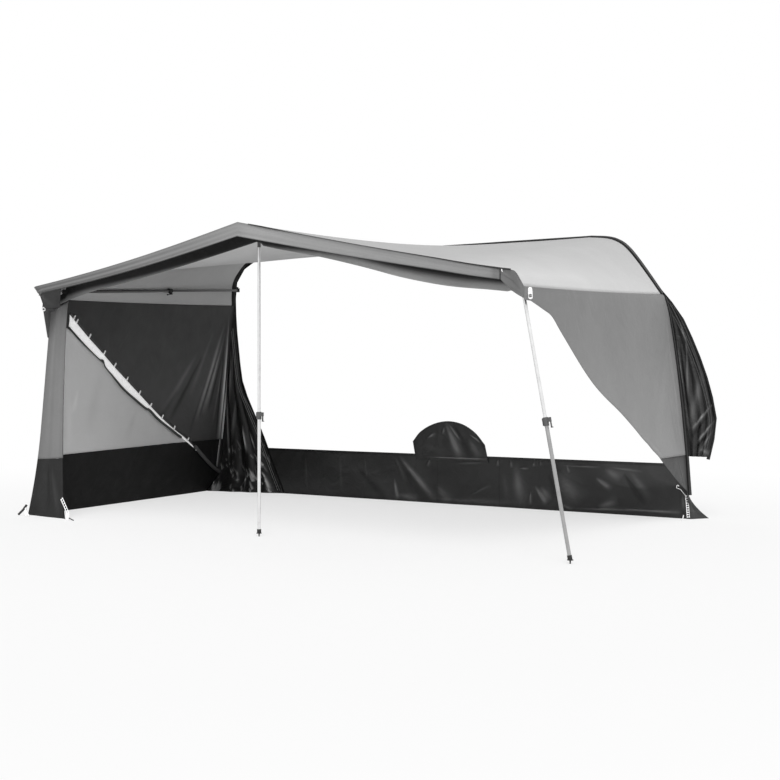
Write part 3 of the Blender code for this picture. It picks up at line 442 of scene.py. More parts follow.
def wovenCloth(name, look):
    # threads as crossed sines on the UV map, mottled dye, a turned hem with a dashed stitch line, soft creases
    material, shader, place = newMaterial(f"{name}Cloth", look)
    tree = shader.id_data
    # painted light: thin pale cloth glows white by its glow value, standing in for daylight that comes through it
    feed(shader.inputs["Emission Color"], (1, 1, 1, 1))
    feed(shader.inputs["Emission Strength"], look["glow"])
    uv = addNode(tree, "SeparateXYZ", {0: addNode(tree, "UVMap", uv_map="cloth").outputs["UV"]}).outputs
    shade = "innerTone" if name.endswith("Inner") else "tone"
    edge, tone = (addNode(tree, "Attribute", attribute_name=key).outputs["Fac"] for key in ("edge", shade))
    turns = 2 * math.pi / look["thread"]
    threads = times(maths("SINE", times(uv[0], turns)), maths("SINE", times(uv[1], turns)))
    dash = maths("GREATER_THAN", maths("FRACT", times(plus(uv[0], uv[1]), 180)), 0.3)
    away = maths("ABSOLUTE", maths("SUBTRACT", edge, look["hem"] * 0.86))
    stitch = times(dash, spread(away, 0.0007, 0.0012, 1, 0))
    hem = spread(edge, look["hem"], look["hem"] * 1.12, 1, 0)
    factor = plus(spread(noise(place, 2.3, 4, 0.6), 0.3, 0.7, 1 - look["mottle"], 1 + look["mottle"]),
                  spread(noise(place, 160, 2), 0.3, 0.7, -0.03, 0.03))
    factor = plus(factor, times(threads, 0.03))
    factor = times(factor, maths("SUBTRACT", 1, times(hem, 0.07)))
    factor = plus(factor, times(stitch, 0.25))
    rough = spread(noise(place, 9), 0.3, 0.7, look["roughness"] - 0.06, look["roughness"] + 0.06)
    # the tone attribute multiplies the colour: it carries each piece's painted light and shade, and some random tone
    painted(shader, look["level"], times(factor, tone), rough)
    soft = bumped(shader, noise(place, look["creaseScale"], 5, 1.4), look["creaseDepth"], 0.02)
    bumped(shader, plus(times(threads, 0.12), plus(hem, times(stitch, -0.5))), 0.5, 0.0012, soft)
    return material


lookColumns = ("level", "roughness", "specular", "sheen", "coat", "glow", "thread", "hem", "mottle", "creaseDepth",
               "creaseScale")
clothLooks = {
    "roof": (212, 0.78, 0.4, 0.1, 0, 0, 0.0012, 0.022, 0.03, 0.2, 5),
    "roofInner": (200, 0.8, 0.4, 0, 0, 0, 0.0012, 0.022, 0.03, 0.2, 5),
    "tape": (16, 0.6, 0.12, 0, 0, 0, 0.002, 0.004, 0.06, 0.1, 5),
    "visor": (166, 0.75, 0.4, 0.1, 0, 0, 0.0012, 0.012, 0.04, 0.3, 9),
    "cheek": (66, 0.75, 0.15, 0, 0, 0, 0.0012, 0.008, 0.08, 0.25, 5),
    "valance": (60, 0.8, 0.1, 0, 0, 0, 0.0012, 0.01, 0.08, 0.4, 8),
    "wingOuter": (150, 0.75, 0.4, 0.1, 0, 0, 0.0012, 0.02, 0.04, 0.35, 5),
    "wingInner": (66, 0.6, 0.15, 0, 0, 0, 0.0012, 0.02, 0.08, 0.35, 5),
    "panel": (208, 0.75, 0.4, 0.1, 0, 0, 0.0012, 0.018, 0.03, 0.25, 5),
    "facing": (246, 0.7, 0.4, 0, 0, 0.32, 0.0014, 0.006, 0.03, 0.3, 20),
    "returnBand": (124, 0.75, 0.4, 0.1, 0, 0, 0.0012, 0.014, 0.05, 0.3, 5),
    "mud": (34, 0.6, 0.08, 0, 0, 0, 0.0016, 0.018, 0.1, 0.5, 5),
    "returnHem": (46, 0.6, 0.12, 0, 0, 0, 0.0016, 0.014, 0.08, 0.4, 5),
    "mudRight": (78, 0.55, 0.2, 0, 0.1, 0, 0.0016, 0.018, 0.1, 0.5, 5),
    "flap": (46, 0.38, 0.2, 0, 0.25, 0, 0.0014, 0.015, 0.1, 0.6, 12),
    "skirt": (47, 0.38, 0.2, 0, 0.2, 0, 0.0016, 0.016, 0.1, 0.6, 5),
}
cloths = {name: wovenCloth(name, dict(zip(lookColumns, look))) for name, look in clothLooks.items()}


def metalTube(name, level):
    # drawn tube: fine lines along it and faint smears
    material, shader, place = newMaterial(name, {"roughness": 0.32, "metallic": 1})
    stretched = addNode(shader.id_data, "Mapping", {"Scale": (900, 900, 6), "Vector": place}).outputs["Vector"]
    lines, smears = noise(stretched, 1, 2), noise(place, 14, 4, 0.8)
    rough = plus(spread(lines, 0.3, 0.7, 0.24, 0.36), spread(smears, 0.4, 0.7, 0, 0.08))
    painted(shader, level, spread(smears, 0.3, 0.7, 0.93, 1.05), rough)
    bumped(shader, lines, 0.15, 0.0004)
    return material


def mouldedPlastic(name, level, roughness, grain=900):
    # fine spark-eroded grain, sharp edges a little lighter
    material, shader, place = newMaterial(name, {"roughness": roughness})
    pointy = addNode(shader.id_data, "NewGeometry").outputs["Pointiness"]
    cloud = noise(place, 40, 4)
    factor = plus(spread(cloud, 0.3, 0.7, 0.9, 1.1), spread(pointy, 0.52, 0.6, 0, 0.25))
    painted(shader, level, factor, spread(cloud, 0.3, 0.7, roughness - 0.07, roughness + 0.07))
    bumped(shader, noise(place, grain, 2), 0.25, 0.0003)
    return material


# Grey level of each metal, and grey level, roughness and grain of each plastic
metalLooks = {"poleMetal": (235,), "rafterMetal": (72,), "legMetal": (172,)}
plasticLooks = {
    "castingNylon": (38, 0.6), "peakNylon": (92, 0.5), "clampNylon": (78, 0.45), "shadedClamp": (9, 0.8),
    "strapRubber": (226, 0.5), "paleNylon": (248, 0.4), "hemRope": (80, 0.7, 300), "flapCord": (128, 0.6, 300),
    "kederVinyl": (26, 0.42, 500), "pipingVinyl": (34, 0.45, 500),
}
finishes = {name: metalTube(name, *look) for name, look in metalLooks.items()}
finishes.update({name: mouldedPlastic(name, *look) for name, look in plasticLooks.items()})
slotFinishes = {"tube_metal": "poleMetal", "casting_plastic": "castingNylon", "clamp_plastic": "clampNylon",
                "strap_rubber": "strapRubber", "beading": "kederVinyl"}
# painted shade: under the roof the poles and their clamps take darker copies of their finishes, for the shadow they
# stand in
shadedFinishes = {"poleMetal": "rafterMetal", "clampNylon": "shadedClamp"}
singleFinishes = {("peak_casting", "castingNylon"): "peakNylon", ("leg_lower_tube_right", "poleMetal"): "legMetal"}
for nodeName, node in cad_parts.items():
    for slot in node.material_slots:
        chosen = slotFinishes.get(slot.material.name.split(".")[0], "castingNylon")
        if nodeName.startswith("rafter"):
            chosen = shadedFinishes.get(chosen, chosen)
        slot.material = finishes[singleFinishes.get((nodeName, chosen), chosen)]
print("materials ready")

# Roof: one sheet from eaves to eaves over the ridge
roofShape = {"mainColumns": 44, "sideColumns": 26, "crossSag": 0.021, "drag": 0.0035, "barShare": 0.88,
             "behind": -0.006, "above": 0.001, "rimAt": [-2.5, -2.3, 0, 0.6, 1.4, 1.8, 2.3],
             "rim": [0.01, 0.007, 0.007, 0.01, 0.01, 0.016, 0.016],
             "shadeAt": [0, 1.5, 1.67, 1.82, 1.95, 2.09, 2.21], "shade": [0.66, 0.69, 0.73, 0.78, 0.855, 0.945, 1.01],
             "underSide": 0.72, "underSeam": 0.45, "underEnds": (1.12, 0.92)}


def roofHalf(side):
    # hollow between ridge and crease, and drag folds that run from the corners to the rail
    strip = roofStrip(side, roofShape["mainColumns"], roofShape["sideColumns"], fineAlong)
    main = strip[:, : roofShape["mainColumns"]]
    x, y = main[:, :, 0], main[:, :, 1]
    still = np.sin(np.pi * np.clip(fineAlong[:, None] / roofShape["barShare"], 0, 1)) ** 0.5
    still = still * np.sin(np.pi * shares(roofShape["mainColumns"]))
    drag = 0.5 + 0.5 * np.sin(x * 9 - y * 3 + softNoise(x * 2, y * 2, 5))
    main[:, :, 2] -= (roofShape["crossSag"] + roofShape["drag"] * drag) * still
    return strip


roofGrid = bothSides(roofHalf)
seam = roofShape["mainColumns"] - 1
fromRidge = np.abs(np.arange(roofGrid.shape[1]) - seam - roofShape["sideColumns"] + 1)
# painted shade: from below the side cloth is darker, the doubled seam along each crease darker still, and the whole
# underside darker towards the rail
under = np.where(fromRidge > seam, roofShape["underSide"], np.where(fromRidge == seam, roofShape["underSeam"], 1))
under = under * mix(*roofShape["underEnds"], column(len(roofGrid)))[::-1]
# painted light: from above it pales where it bends down to the eaves
over = np.interp(np.abs(roofGrid[:, :, 0]), roofShape["shadeAt"], roofShape["shade"])
clothPiece("roof", roofGrid, "roof", "roofInner", flip=True, tone=over, innerTone=under,
           nodes=("roof_main_left", "roof_main_right", "roof_side_left", "roof_side_right"))

# Black webbing sewn round the roof's rear edge and down the flaps, which carries the beading
tapeShape = {"width": 0.062, "thick": 0.0042, "behind": 0.002, "flap": 0.02, "flapThick": 0.0038}


def tapeHalf(side):
    return roofStrip(side, 30, 50, shares(5, tapeShape["width"] / (depth + visor))) + (0, tapeShape["behind"], 0)


tapeGrid = bothSides(tapeHalf)
clothPiece("railTape", tapeGrid, "tape", thick=tapeShape["thick"], flip=True)
# the keder's welded cover, which rounds the rail's line off
rimLine = tapeGrid[0] + (0, roofShape["behind"], roofShape["above"])
tube("railRim", rimLine, np.interp(rimLine[:, 0], roofShape["rimAt"], roofShape["rim"]), "kederVinyl")
print("roof done")

# Visor: fascia, corner caps and the valance behind them
visorShape = {"middle": 0.102, "end": {"left": 0.062, "right": 0.068}, "endAt": {"left": 1.0, "right": 0.79},
              "wrapAt": (2.13, 2.24), "wrap": 0.058, "cap": 0.075, "capColumns": (64, 81), "capWrap": 0.056,
              "capHollow": 0.012, "capSag": 0.014, "capFoot": ((2.062, -0.036, 1.752), (0.004, -0.034, 1.742)),
              "valance": 0.121, "valanceEnd": 0.13, "valanceDip": 0.056,
              "pipingAt": [0.1, 0.22, 0.5, 1.2, 1.7, 2.2], "piping": [0.0028, 0.0048, 0.0014, 0.0014, 0.0028, 0.006],
              "bindingAt": [-2.2, -0.5, 0.3, 2.2], "binding": [0.004, 0.003, 0.0014, 0.0018],
              "toneAt": [-2.2, -1.4, -0.4, 0, 0.1, 0.5, 1, 1.5, 2.055, 2.075],
              "tone": [0.36, 0.48, 0.62, 0.74, 0.84, 0.82, 0.76, 0.72, 0.7, 0.5],
              "litAt": [-2.1, -1.6, -0.7, 0, 0.8, 1.6, 2.1], "litFrom": [0.5, 0.64, 0.84, 0.9, 0.6, 0.62, 0.52],
              "lightAt": [-2.1, -1.2, 0, 1, 2.1], "light": [5.5, 6.5, 5, 8.5, 8], "unlit": 0.55,
              "lowRight": [(0.06, 2.14), (0.244, 2.099), (0.591, 2.028), (0.954, 1.939), (1.266, 1.855),
                          (1.611, 1.785), (1.941, 1.746), (2.069, 1.73)]}


def visorTop(side, end):
    return roofStrip(side, 50, 26, [0, 1], end)[-1]


def fasciaHalf(side):
    top = visorTop(side, visorShape["endAt"][side["name"]]) - (0, wall / 2 + gap, 0)
    grid = np.repeat(top[None], 17, axis=0)
    heights = [visorShape["middle"], visorShape["end"][side["name"]]]
    grid[:, :, 2] -= column(17) * np.interp(top[:, 0], [0, top[-1, 0]], heights)
    return grid


def fasciaSheet():
    # soft level folds, deeper on the left, that leave the sewn top line still
    grid, share = bothSides(fasciaHalf), column(17)
    x = grid[:, :, 0]
    fold = np.sin(share * 13 + 1.5 * softNoise(x * 0.9, share * 2, 6, 2))
    grid[:, :, 1] -= share * (0.002 + 0.003 * fold * mix(0.4, 1.0, smoothStep(-x, -0.5, 1.6)))
    grid[:, :, 1] += visorShape["wrap"] * share * smoothStep(-x, *visorShape["wrapAt"])
    # painted light and shade: darker towards the left end and at the right corner, lighter on the folds' crests and
    # darker in their hollows on the left, soft lengthwise shade streaks on the right, and darker along the top
    tone = np.interp(x, visorShape["toneAt"], visorShape["tone"])
    shadeStreaks = softNoise(x * 2.2, share * 16, 15, 3)
    tone = tone * (1 + 0.22 * fold * smoothStep(-x, -0.6, 1.6) + 0.11 * shadeStreaks * smoothStep(x, -0.2, 0.3))
    return grid, tone * mix(0.86, 1.04, smoothStep(share, 0, 0.2))


fasciaGrid, fasciaTone = fasciaSheet()
clothPiece("fascia", fasciaGrid, "visor", tone=fasciaTone, nodes=("fascia_left", "fascia_right"))

# Piping in the visor's top seam on the right, and a binding along its lower edge
capTop = roofPart(right, "side", np.linspace(0.8, 0.92, 8), [0, 1])[-1]
pipeLine = np.vstack([fasciaGrid[0, fasciaGrid[0, :, 0] > 0.1], capTop - (0, 0.002, 0)]) + (0, -0.0035, 0.0015)
pipeThick = np.interp(pipeLine[:, 0], visorShape["pipingAt"], visorShape["piping"])
tube("visorPiping", pipeLine, pipeThick, "pipingVinyl", 8)
hemLine = fasciaGrid[-1] + (0, -0.001, -0.0018)
hemThick = np.interp(hemLine[:, 0], visorShape["bindingAt"], visorShape["binding"])
tube("visorBinding", hemLine, hemThick, "pipingVinyl", 8)


def capRight():
    # from the roof's edge round the corner down to a straight line back to the leg, hollowed between the two
    first, count = visorShape["capColumns"]
    flank = roofPart(right, "side", shares(count), fineAlong)
    nose = int(np.searchsorted(fineAlong, noseShare - 1e-6))
    top = np.vstack([flank[-1, first:], flank[nose:-1, -1][::-1]])
    top[: count - first, 1] -= wall / 2 + 2 * gap
    top[count - first - 1:, 0] += wall + gap
    along = runAlong(top, 0)[:, None]
    along = along / along[-1]
    floor = mix(top[0] - (0, 0, visorShape["end"]["right"]), top[-1] - (0, 0, visorShape["cap"]), along)
    hollow = np.sin(np.pi * along[:, 0])
    floor[:, 2] -= visorShape["capSag"] * hollow
    share = column(22)
    drag = foldField(along.T, share, [(20, 500, 750, 620, 70, -4), (0, 200, 300, 500, 80, 3),
                                      (400, 100, 900, 450, 100, 3), (200, 950, 900, 800, 60, -3)])
    grid = mix(top, floor, share[:, :, None])
    grid[:, :, 1] += visorShape["capHollow"] * np.sin(np.pi * share) * hollow - drag
    # painted shade: the cap darker than the fascia, where its cloth turns from the light, and lighter and darker over
    # its folds
    return grid, 0.48 * np.exp(drag * 45)


def capLeft():
    # closes the corner from the fascia's lower edge back to the front return
    top = visorTop(left, 1.0)[50:]
    top = top[top[:, 0] > 1.9]
    top[:, 2] -= np.interp(top[:, 0], [0, top[-1, 0]], [visorShape["middle"], visorShape["end"]["left"]]) - 0.004
    top[:, 1] += 0.003 + visorShape["capWrap"] * smoothStep(top[:, 0], *visorShape["wrapAt"])
    along, share = column(len(top)), column(16)
    start, end = visorShape["capFoot"]
    floor = mix(np.array(start), np.array(end) + (top[-1, 0], 0, 0), along)
    drag = foldField(along.T, share, [(100, 0, 150, 1000, 80, -3), (900, 100, 400, 900, 120, 3)])
    grid = mix(top, floor, share[:, :, None])
    grid[:, :, 1] -= drag
    # painted light and shade over its folds
    return onSide(grid, left), np.exp(drag * 60)


for label, cloth, (capGrid, capTone) in (("left", "cheek", capLeft()), ("right", "visor", capRight())):
    clothPiece(f"cornerCap.{label}", capGrid, cloth, tone=capTone, flip=label == "left", nodes=(f"corner_cap_{label}",))


def valanceLines(side):
    top = roofStrip(side, 50, 22, [0, visorShare], 0.78)[-1] - (0, 0, wall / 2 + 2 * gap)
    floor = top.copy()
    floor[:, 2] -= np.interp(top[:, 0], [0, top[-1, 0]], [visorShape["valance"], visorShape["valanceEnd"]])
    if side is right:
        line = smoothThrough(visorShape["lowRight"], 80)
        floor[:, 2] = np.minimum(floor[:, 2], np.interp(floor[:, 0], *line.T, left=3, right=3))
    return top, floor


def valanceHalf(side):
    # the top line dips under the peak and at the corners, where castings stand
    top, floor = valanceLines(side)
    dip = np.maximum(smoothStep(top[:, 0], 0.035, 0.02), smoothStep(top[:, 0], 2.07, 2.1))
    top[:, 2] -= visorShape["valanceDip"] * dip
    return mix(top, floor, column(15)[:, :, None])


def valanceSheet():
    # light falls on its lower part, from a ragged line down
    grid, share = bothSides(valanceHalf), column(15)
    x = grid[:, :, 0]
    grid[:, :, 1] += share * 0.003 * softNoise(x * 1.6, share * 3, 12, 3)
    edge = np.interp(x, visorShape["litAt"], visorShape["litFrom"])
    ragged = share + 0.07 * softNoise(x * 1.3, 0 * share, 21, 3)
    lightest = np.interp(x, visorShape["lightAt"], visorShape["light"])
    tone = mix(visorShape["unlit"], lightest, smoothStep(ragged, edge, edge + np.where(x > 0, 0.3, 0.38)))
    return grid, tone * (1 + 0.12 * softNoise(x * 6, share * 3, 33, 3))


valanceGrid, valanceTone = valanceSheet()
clothPiece("valanceCloth", valanceGrid, "valance", tone=valanceTone, nodes=("valance",))
print("visor done")

# Wings with their hems; each fold is listed by y and height
mudFolds = {
    "left": [(2600, 500, 2680, 100, 30, 2), (2450, 300, 2600, 120, 20, -3), (2748, 660, 2726, 180, 17, 26),
            (2380, 260, 2440, 20, 22, 4), (2520, 200, 2600, 20, 18, 5), (2660, 220, 2700, 30, 12, 6)],
    "right": [(2600, 480, 2720, 220, 15, 4), (2450, 400, 2660, 220, 30, -3), (2720, 200, 2860, 20, 16, -5),
             (2780, 160, 2800, 10, 12, 4), (2700, 80, 2900, 50, 12, 4), (2840, 120, 2880, 20, 10, -4)],
}
wingFolds = {
    "left": [(2694, 1700, 2704, 460, 32, 23.5), (2750, 1200, 2752, 340, 16, 26), (2730, 1400, 2733, 600, 6, -18),
            (2650, 1550, 2652, 600, 12, -12), (2600, 1660, 2285, 800, 42, 12.5), (2620, 1560, 2400, 860, 40, 12),
            (2600, 1520, 2345, 830, 13, -12), (2630, 1400, 2480, 880, 20, -8), (2660, 1420, 2570, 740, 16, 7),
            (2160, 1380, 1740, 860, 40, 5.8), (2250, 1340, 1860, 780, 30, -9), (1900, 1030, 1680, 760, 40, -5),
            (2420, 1600, 2140, 1020, 35, 4.5), (2460, 1350, 2200, 660, 20, -6)],
    "right": [(2670, 1650, 2640, 1220, 20, 3), (2650, 1400, 2700, 660, 22, 4), (2640, 910, 2750, 520, 18, 3),
             (2510, 1030, 2630, 580, 30, -3), (1990, 670, 2260, 540, 15, 3), (2090, 670, 2300, 530, 12, -3),
             (1790, 760, 2030, 660, 15, 2), (2690, 1800, 2620, 1440, 20, -3)],
}


def wingTop(side):
    # the eaves as far as the nose, read off finer for the narrow folds, and the wing's lower edge under them
    line = eavesLine(side)
    line = line[fineAlong <= noseShare + 1e-6]
    finer = np.linspace(0, len(line) - 1, wingShape["finer"] * (len(line) - 1) + 1)
    line = points(*(np.interp(finer, np.arange(len(line)), axis) for axis in line.T))
    return line, np.maximum(wingLowEdge(side, line[:, 1]), awning["mud"])


def mudHemLine(side, height, share):
    # across the hem from the free edge to the rail's seam, which swings back or in towards the ground
    height = height[:, None]
    tail = np.clip(1 - height / awning["tail"], 0, 1) ** 1.5
    end = depth + side["tailBack"] * tail
    start = np.minimum(np.interp(height, edgeLine[::-1, 1], edgeLine[::-1, 0]), end - 0.04)
    across = mix(np.minimum(start, depth - 0.01), end, share)
    return points(wallX(side, np.minimum(across, depth), height) + side["tailOut"] * tail * share, across, height)


for side in (left, right):
    label = side["name"]
    line, low = wingTop(side)
    grid = wallGrid(side, line[:, 1], low, line[:, 2], wingShape["rows"])
    y, height = grid[:, :, 1], grid[:, :, 2]
    # folds push the left wing in and the right wing out, so both show to the front of the awning
    field = foldField(y, height, wingFolds[label]) * (0.7 if side is left else 1)
    grid[:, :, 0] += field * side["turn"]
    grid[-1, :, 0] = line[:, 0]
    # painted light and shade: paler towards the ground on both faces, towards the rail outside and the front tip
    # inside; lighter on the folds' crests, darker in their hollows
    tone = mix(mix(0.9, 0.68, smoothStep(height, 0.7, 1.8)), 1, smoothStep(y - height, 0.9, 2)) * np.exp(field * 22)
    inner = np.exp(field * 160) * mix(1.3, 0.72, smoothStep(height, 0.8, 1.8))
    inner = inner * mix(1, 3.6, smoothStep(-y, -0.16, -0.06))
    clothPiece(f"wing.{label}", onSide(grid, side), "wingOuter", "wingInner", flip=side is right, tone=tone,
               innerTone=inner, nodes=(f"wing_{label}",))
    hem = mudHemLine(side, np.linspace(awning["mud"], 0, 60), shares(60))
    field = foldField(hem[:, :, 1], hem[:, :, 2], mudFolds[label])
    hem[:, :, 0] += field
    # painted light and shade: lighter on the folds' crests, darker in their hollows, and darker towards the ground
    tone = np.exp(field * (60 if side is right else 190)) * mix(1, 0.66, smoothStep(-hem[:, :, 2], -0.24, -0.14))
    clothPiece(f"wingMudHem.{label}", onSide(hem, side), "mudRight" if side is right else "mud", "mud",
               flip=side is right, tone=tone, nodes=(f"wing_mud_hem_{label}",))
print("wings done")

# Rail flaps: pleated gussets between each wing and the rail; each fold is listed by x and height
flapShape = {
    "right": {"foot": 0.52, "fold": 0.016, "glint": 0.8, "cord": (0.0022, "hemRope"), "folds": [
        (2130, 1780, 2240, 1180, 14, 6), (2210, 1490, 2320, 700, 12, 8), (2240, 1620, 2290, 1480, 12, 7),
        (2290, 1500, 2310, 1000, 14, 6), (2420, 1200, 2330, 780, 50, 5), (2500, 940, 2350, 750, 14, 8),
        (2520, 810, 2390, 640, 14, 8), (2510, 730, 2410, 560, 12, 6), (2460, 840, 2350, 690, 12, -6),
        (2480, 720, 2380, 590, 12, -6), (2240, 1440, 2310, 820, 14, -7), (2170, 1650, 2270, 990, 12, -5),
        (2420, 580, 2500, 540, 30, 6)]},
    "left": {"foot": 0.0, "fold": 0.026, "glint": 18, "cord": (0.003, "flapCord"), "folds": [
        (2405, 660, 2350, 410, 18, 13), (2330, 620, 2230, 400, 15, 12), (2417, 1000, 2170, 620, 9, 10),
        (2480, 210, 2430, 90, 10, 8), (2380, 200, 2320, 10, 10, 9), (2320, 220, 2380, 50, 8, 7),
        (2130, 190, 2020, 10, 28, 12), (2600, 230, 2510, 150, 10, 7), (2540, 250, 2460, 170, 10, 7),
        (2260, 260, 2230, 180, 8, 7), (2577, 1620, 2586, 860, 18, 8.5), (2510, 950, 2550, 540, 20, 5),
        (2440, 530, 2420, 220, 20, -4), (2270, 530, 2170, 230, 14, -6), (2170, 310, 2090, 210, 10, 8),
        (2510, 130, 2420, 110, 10, 6), (2640, 1100, 2600, 300, 16, 10), (2600, 1000, 2560, 350, 12, -8)]},
}
flapPleats = {"count": 3.5, "crease": 0.006, "creaseBelow": 0.62, "rearPiping": (0.007, 0.0165),
              "cordsAt": (0.026, 0.044)}
flapDown = column(150)


def seamLine(side, height):
    # the wall's rear edge, and below the mud line the hem's
    hem = mudHemLine(side, np.linspace(awning["mud"], 0, 46), shares(2))[::-1, -1]
    y, out = (np.interp(height, hem[:, 2], hem[:, axis]) for axis in (1, 0))
    above = height > awning["mud"]
    return points(np.where(above, wallX(side, np.full_like(height, depth), height), out), np.where(above, depth, y),
                  height)


def flapSheet(side):
    look, share, down = flapShape[side["name"]], shares(110)[None], flapDown
    knots = side["rail"][awning["eavesKnot"]:]
    curve = smoothThrough(knots, 120)[::-1]
    height = np.linspace(knots[0][1] - 0.004, look["foot"], 150)
    rail = points(np.interp(height, curve[:, 1], curve[:, 0]), depth, height)
    grid = mix(seamLine(side, height)[:, None], rail[:, None], share[:, :, None])
    # pleats: a soft sine of a warped share, deeper towards the ground, with the listed folds on top
    warped = share + 0.05 * np.sin(3 * down + 5 * share) + 0.03 * softNoise(share * 6, down * 4, 2)
    pleat = 0.5 + 0.5 * np.cos(2 * np.pi * flapPleats["count"] * warped)
    field = foldField(grid[:, :, 0], grid[:, :, 2], look["folds"])
    height = height[:, None]
    creased = smoothStep(softNoise(share * 24 + height * 16, height * 13, 9, 4, 0.7), 0.5, 1.05)
    creased = creased * smoothStep(flapPleats["creaseBelow"] - height, 0, 0.4)
    still = np.sin(np.pi * share) ** 0.5
    grid[:, :, 1] -= still * (look["fold"] * down**0.6 * (pleat + 0.3) + field + flapPleats["crease"] * creased)
    # painted light and shade: lighter on fold crests, darker in their hollows, the pleats shaded light and dark, and
    # painted glints on the creases
    tone = np.exp(field * 290) * mix(0.7, 1.3, pleat) * (1 + look["glint"] * creased)
    return grid, np.clip(tone, 0.3, 30)


for side in (left, right):
    label = side["name"]
    rear = seamLine(side, np.linspace(side["rail"][awning["eavesKnot"]][1] - 0.03, 0.2, 80)) + (0.012, -0.01, 0)
    tube(f"wingRearPiping.{label}", onSide(rear, side), np.linspace(*flapPleats["rearPiping"], 80), "pipingVinyl")
    grid, tone = flapSheet(side)
    clothPiece(f"railFlap.{label}", onSide(grid, side), "flap", flip=side is left, tone=tone,
               nodes=(f"rail_flap_{label}",))
    # edge tape, and two cords stitched down inside it
    edge = grid[:, -1]
    inward = points(np.gradient(edge[:, 2]), 0, -np.gradient(edge[:, 0]))
    inward = inward / np.linalg.norm(inward, axis=1, keepdims=True)
    inward = inward * np.where(inward[:, :1] > 0, 1, -1) * -side["turn"]
    beyond = np.interp(edge[:, 2], [0, 0.5, 1.2, 1.8], [0.016, 0.02, 0.01, 0])[:, None] * (side is left)
    wide = mix(edge - inward * beyond, edge + inward * tapeShape["flap"], shares(5)[:, None, None]) - (0, 0.0005, 0)
    wide[:, :, 2] = np.maximum(wide[:, :, 2], 0.003)
    clothPiece(f"railEdge.{label}", onSide(wide, side), "tape", thick=tapeShape["flapThick"], flip=side is right)
    for number, back in enumerate(flapPleats["cordsAt"]):
        line = edge + inward * back - (0, 0.006 + 0.24 * back, 0)
        line = line[(line[:, 2] > 0.02) & (flapDown[:, 0] > 0.12)]
        tube(f"flapPiping.{label}.{number + 1}", onSide(line, side), *flapShape[label]["cord"], 7)

# Side wall under the left wing; each fold is listed by y and height
panelShape = {"mudFall": 0.034, "mudFallTo": 1.9, "beyond": 0.03, "seam": 0.0007}
panelFolds = [(480, 1060, 440, 870, 30, 4), (750, 1150, 670, 700, 100, -3), (380, 980, 430, 540, 50, 3),
              (1300, 850, 1200, 600, 60, -3)]


def mudTop(y):
    # the dark strip's top line falls a little towards the front
    return awning["mud"] - panelShape["mudFall"] * (1 - np.clip(y / panelShape["mudFallTo"], 0, 1))


def panelSheet():
    line, edge = (part[::-1] for part in wingTop(left))
    front = valanceLines(left)[1][-1, 1]
    y = line[(line[:, 1] > front) & (edge > awning["mud"] + 0.002), 1]
    y = np.concatenate([[front], y, [y[-1] + panelShape["beyond"]]])
    return wallGrid(left, y, mudTop(y), np.interp(y, line[:, 1], edge) - panelShape["seam"], 50)


def panelHemSheet():
    height = np.linspace(awning["mud"] - panelShape["seam"], 0, 40)
    start = mudHemLine(left, height, shares(2))[:, :1, 1]
    across = mix(valanceLines(left)[1][-1, 1], start - panelShape["seam"], shares(80))
    z = height[:, None] * mudTop(across) / awning["mud"]
    return points(wallX(left, across, z), across, z)


panelGrid = onSide(panelSheet(), left)
field = foldField(panelGrid[:, :, 1], panelGrid[:, :, 2], panelFolds)
panelGrid[:, :, 0] += field
# painted light and shade: lighter on the folds' crests, and a little darker towards the rear and the top
pale = smoothStep(panelGrid[:, :, 1] + 0.3 * panelGrid[:, :, 2], 0.3, 1.5)
clothPiece("sidePanel", panelGrid, "panel", tone=np.exp(field * 30) * mix(1.12, 1.02, pale), nodes=("side_panel",))
hemGrid = onSide(panelHemSheet(), left)
hemTone = 1 + 0.15 * softNoise(hemGrid[:, :, 1] * 3, hemGrid[:, :, 2] * 4, 41, 4)
clothPiece("sidePanelHem", hemGrid, "mud", flip=True, tone=hemTone, nodes=("side_panel_mud_hem",))

# Pale facing under the toggled joint between the side panel and the wing, with its toggles and the hem's rope;
# each place is listed by y and height
stripShape = {
    "inside": 0.006, "puff": 0.006, "span": (0.29, 2.27), "columns": 180, "toggleLift": 0.02,
    "panelPipingAndShadow": {"columns": 158, "inside": 0.015, "at": [0, 50, 70, 150], "radius": [0.004, 0.006, 0.011, 0.013]},
    "wingPiping": {"inside": 0.009, "radius": 0.007}, "hemRope": {"inside": 0.021, "radius": 0.018},
    "upper": [(0.29, 1.712), (0.335, 1.68), (0.548, 1.528), (0.764, 1.386), (0.919, 1.279), (1.114, 1.154),
             (1.313, 1.025), (1.503, 0.902), (1.688, 0.788), (1.893, 0.674), (2.138, 0.551), (2.28, 0.462)],
    "lower": [(0.29, 1.612), (0.317, 1.591), (0.495, 1.472), (0.708, 1.344), (0.763, 1.334), (0.802, 1.273),
             (0.915, 1.192), (1.076, 1.076), (1.254, 0.978), (1.426, 0.888), (1.489, 0.87), (1.606, 0.795),
             (1.742, 0.724), (1.94, 0.628), (2.142, 0.528), (2.272, 0.458)],
    "toggles": [(0.335, 1.69), (0.375, 1.66), (0.556, 1.538), (0.77, 1.396), (0.928, 1.286), (1.116, 1.16),
               (1.316, 1.032), (1.5, 0.911), (1.694, 0.795), (1.898, 0.681), (2.142, 0.556), (2.294, 0.455)],
    "rope": [(2.26, 0.48), (2.351, 0.416), (2.489, 0.326), (2.63, 0.244), (2.74, 0.19)],
}
# a toggle is a short bar with rounded ends: places along it, each with its radius
toggleBar = np.array([(-0.021, 0.0015), (-0.02, 0.0058), (-0.014, 0.0072), (0.014, 0.0072), (0.02, 0.0058),
                      (0.021, 0.0015)])


def onLeftWall(spots, inside):
    y, z = np.moveaxis(np.asarray(spots), -1, 0)
    return points(inside - wallX(left, y, z), y, z)


def evenly(edge):
    # read off at even distances from the rail, so the two edges of the strip stay level with each other
    y = np.linspace(*stripShape["span"], stripShape["columns"])
    return points(y, np.interp(y, *smoothThrough(stripShape[edge], 300).T))


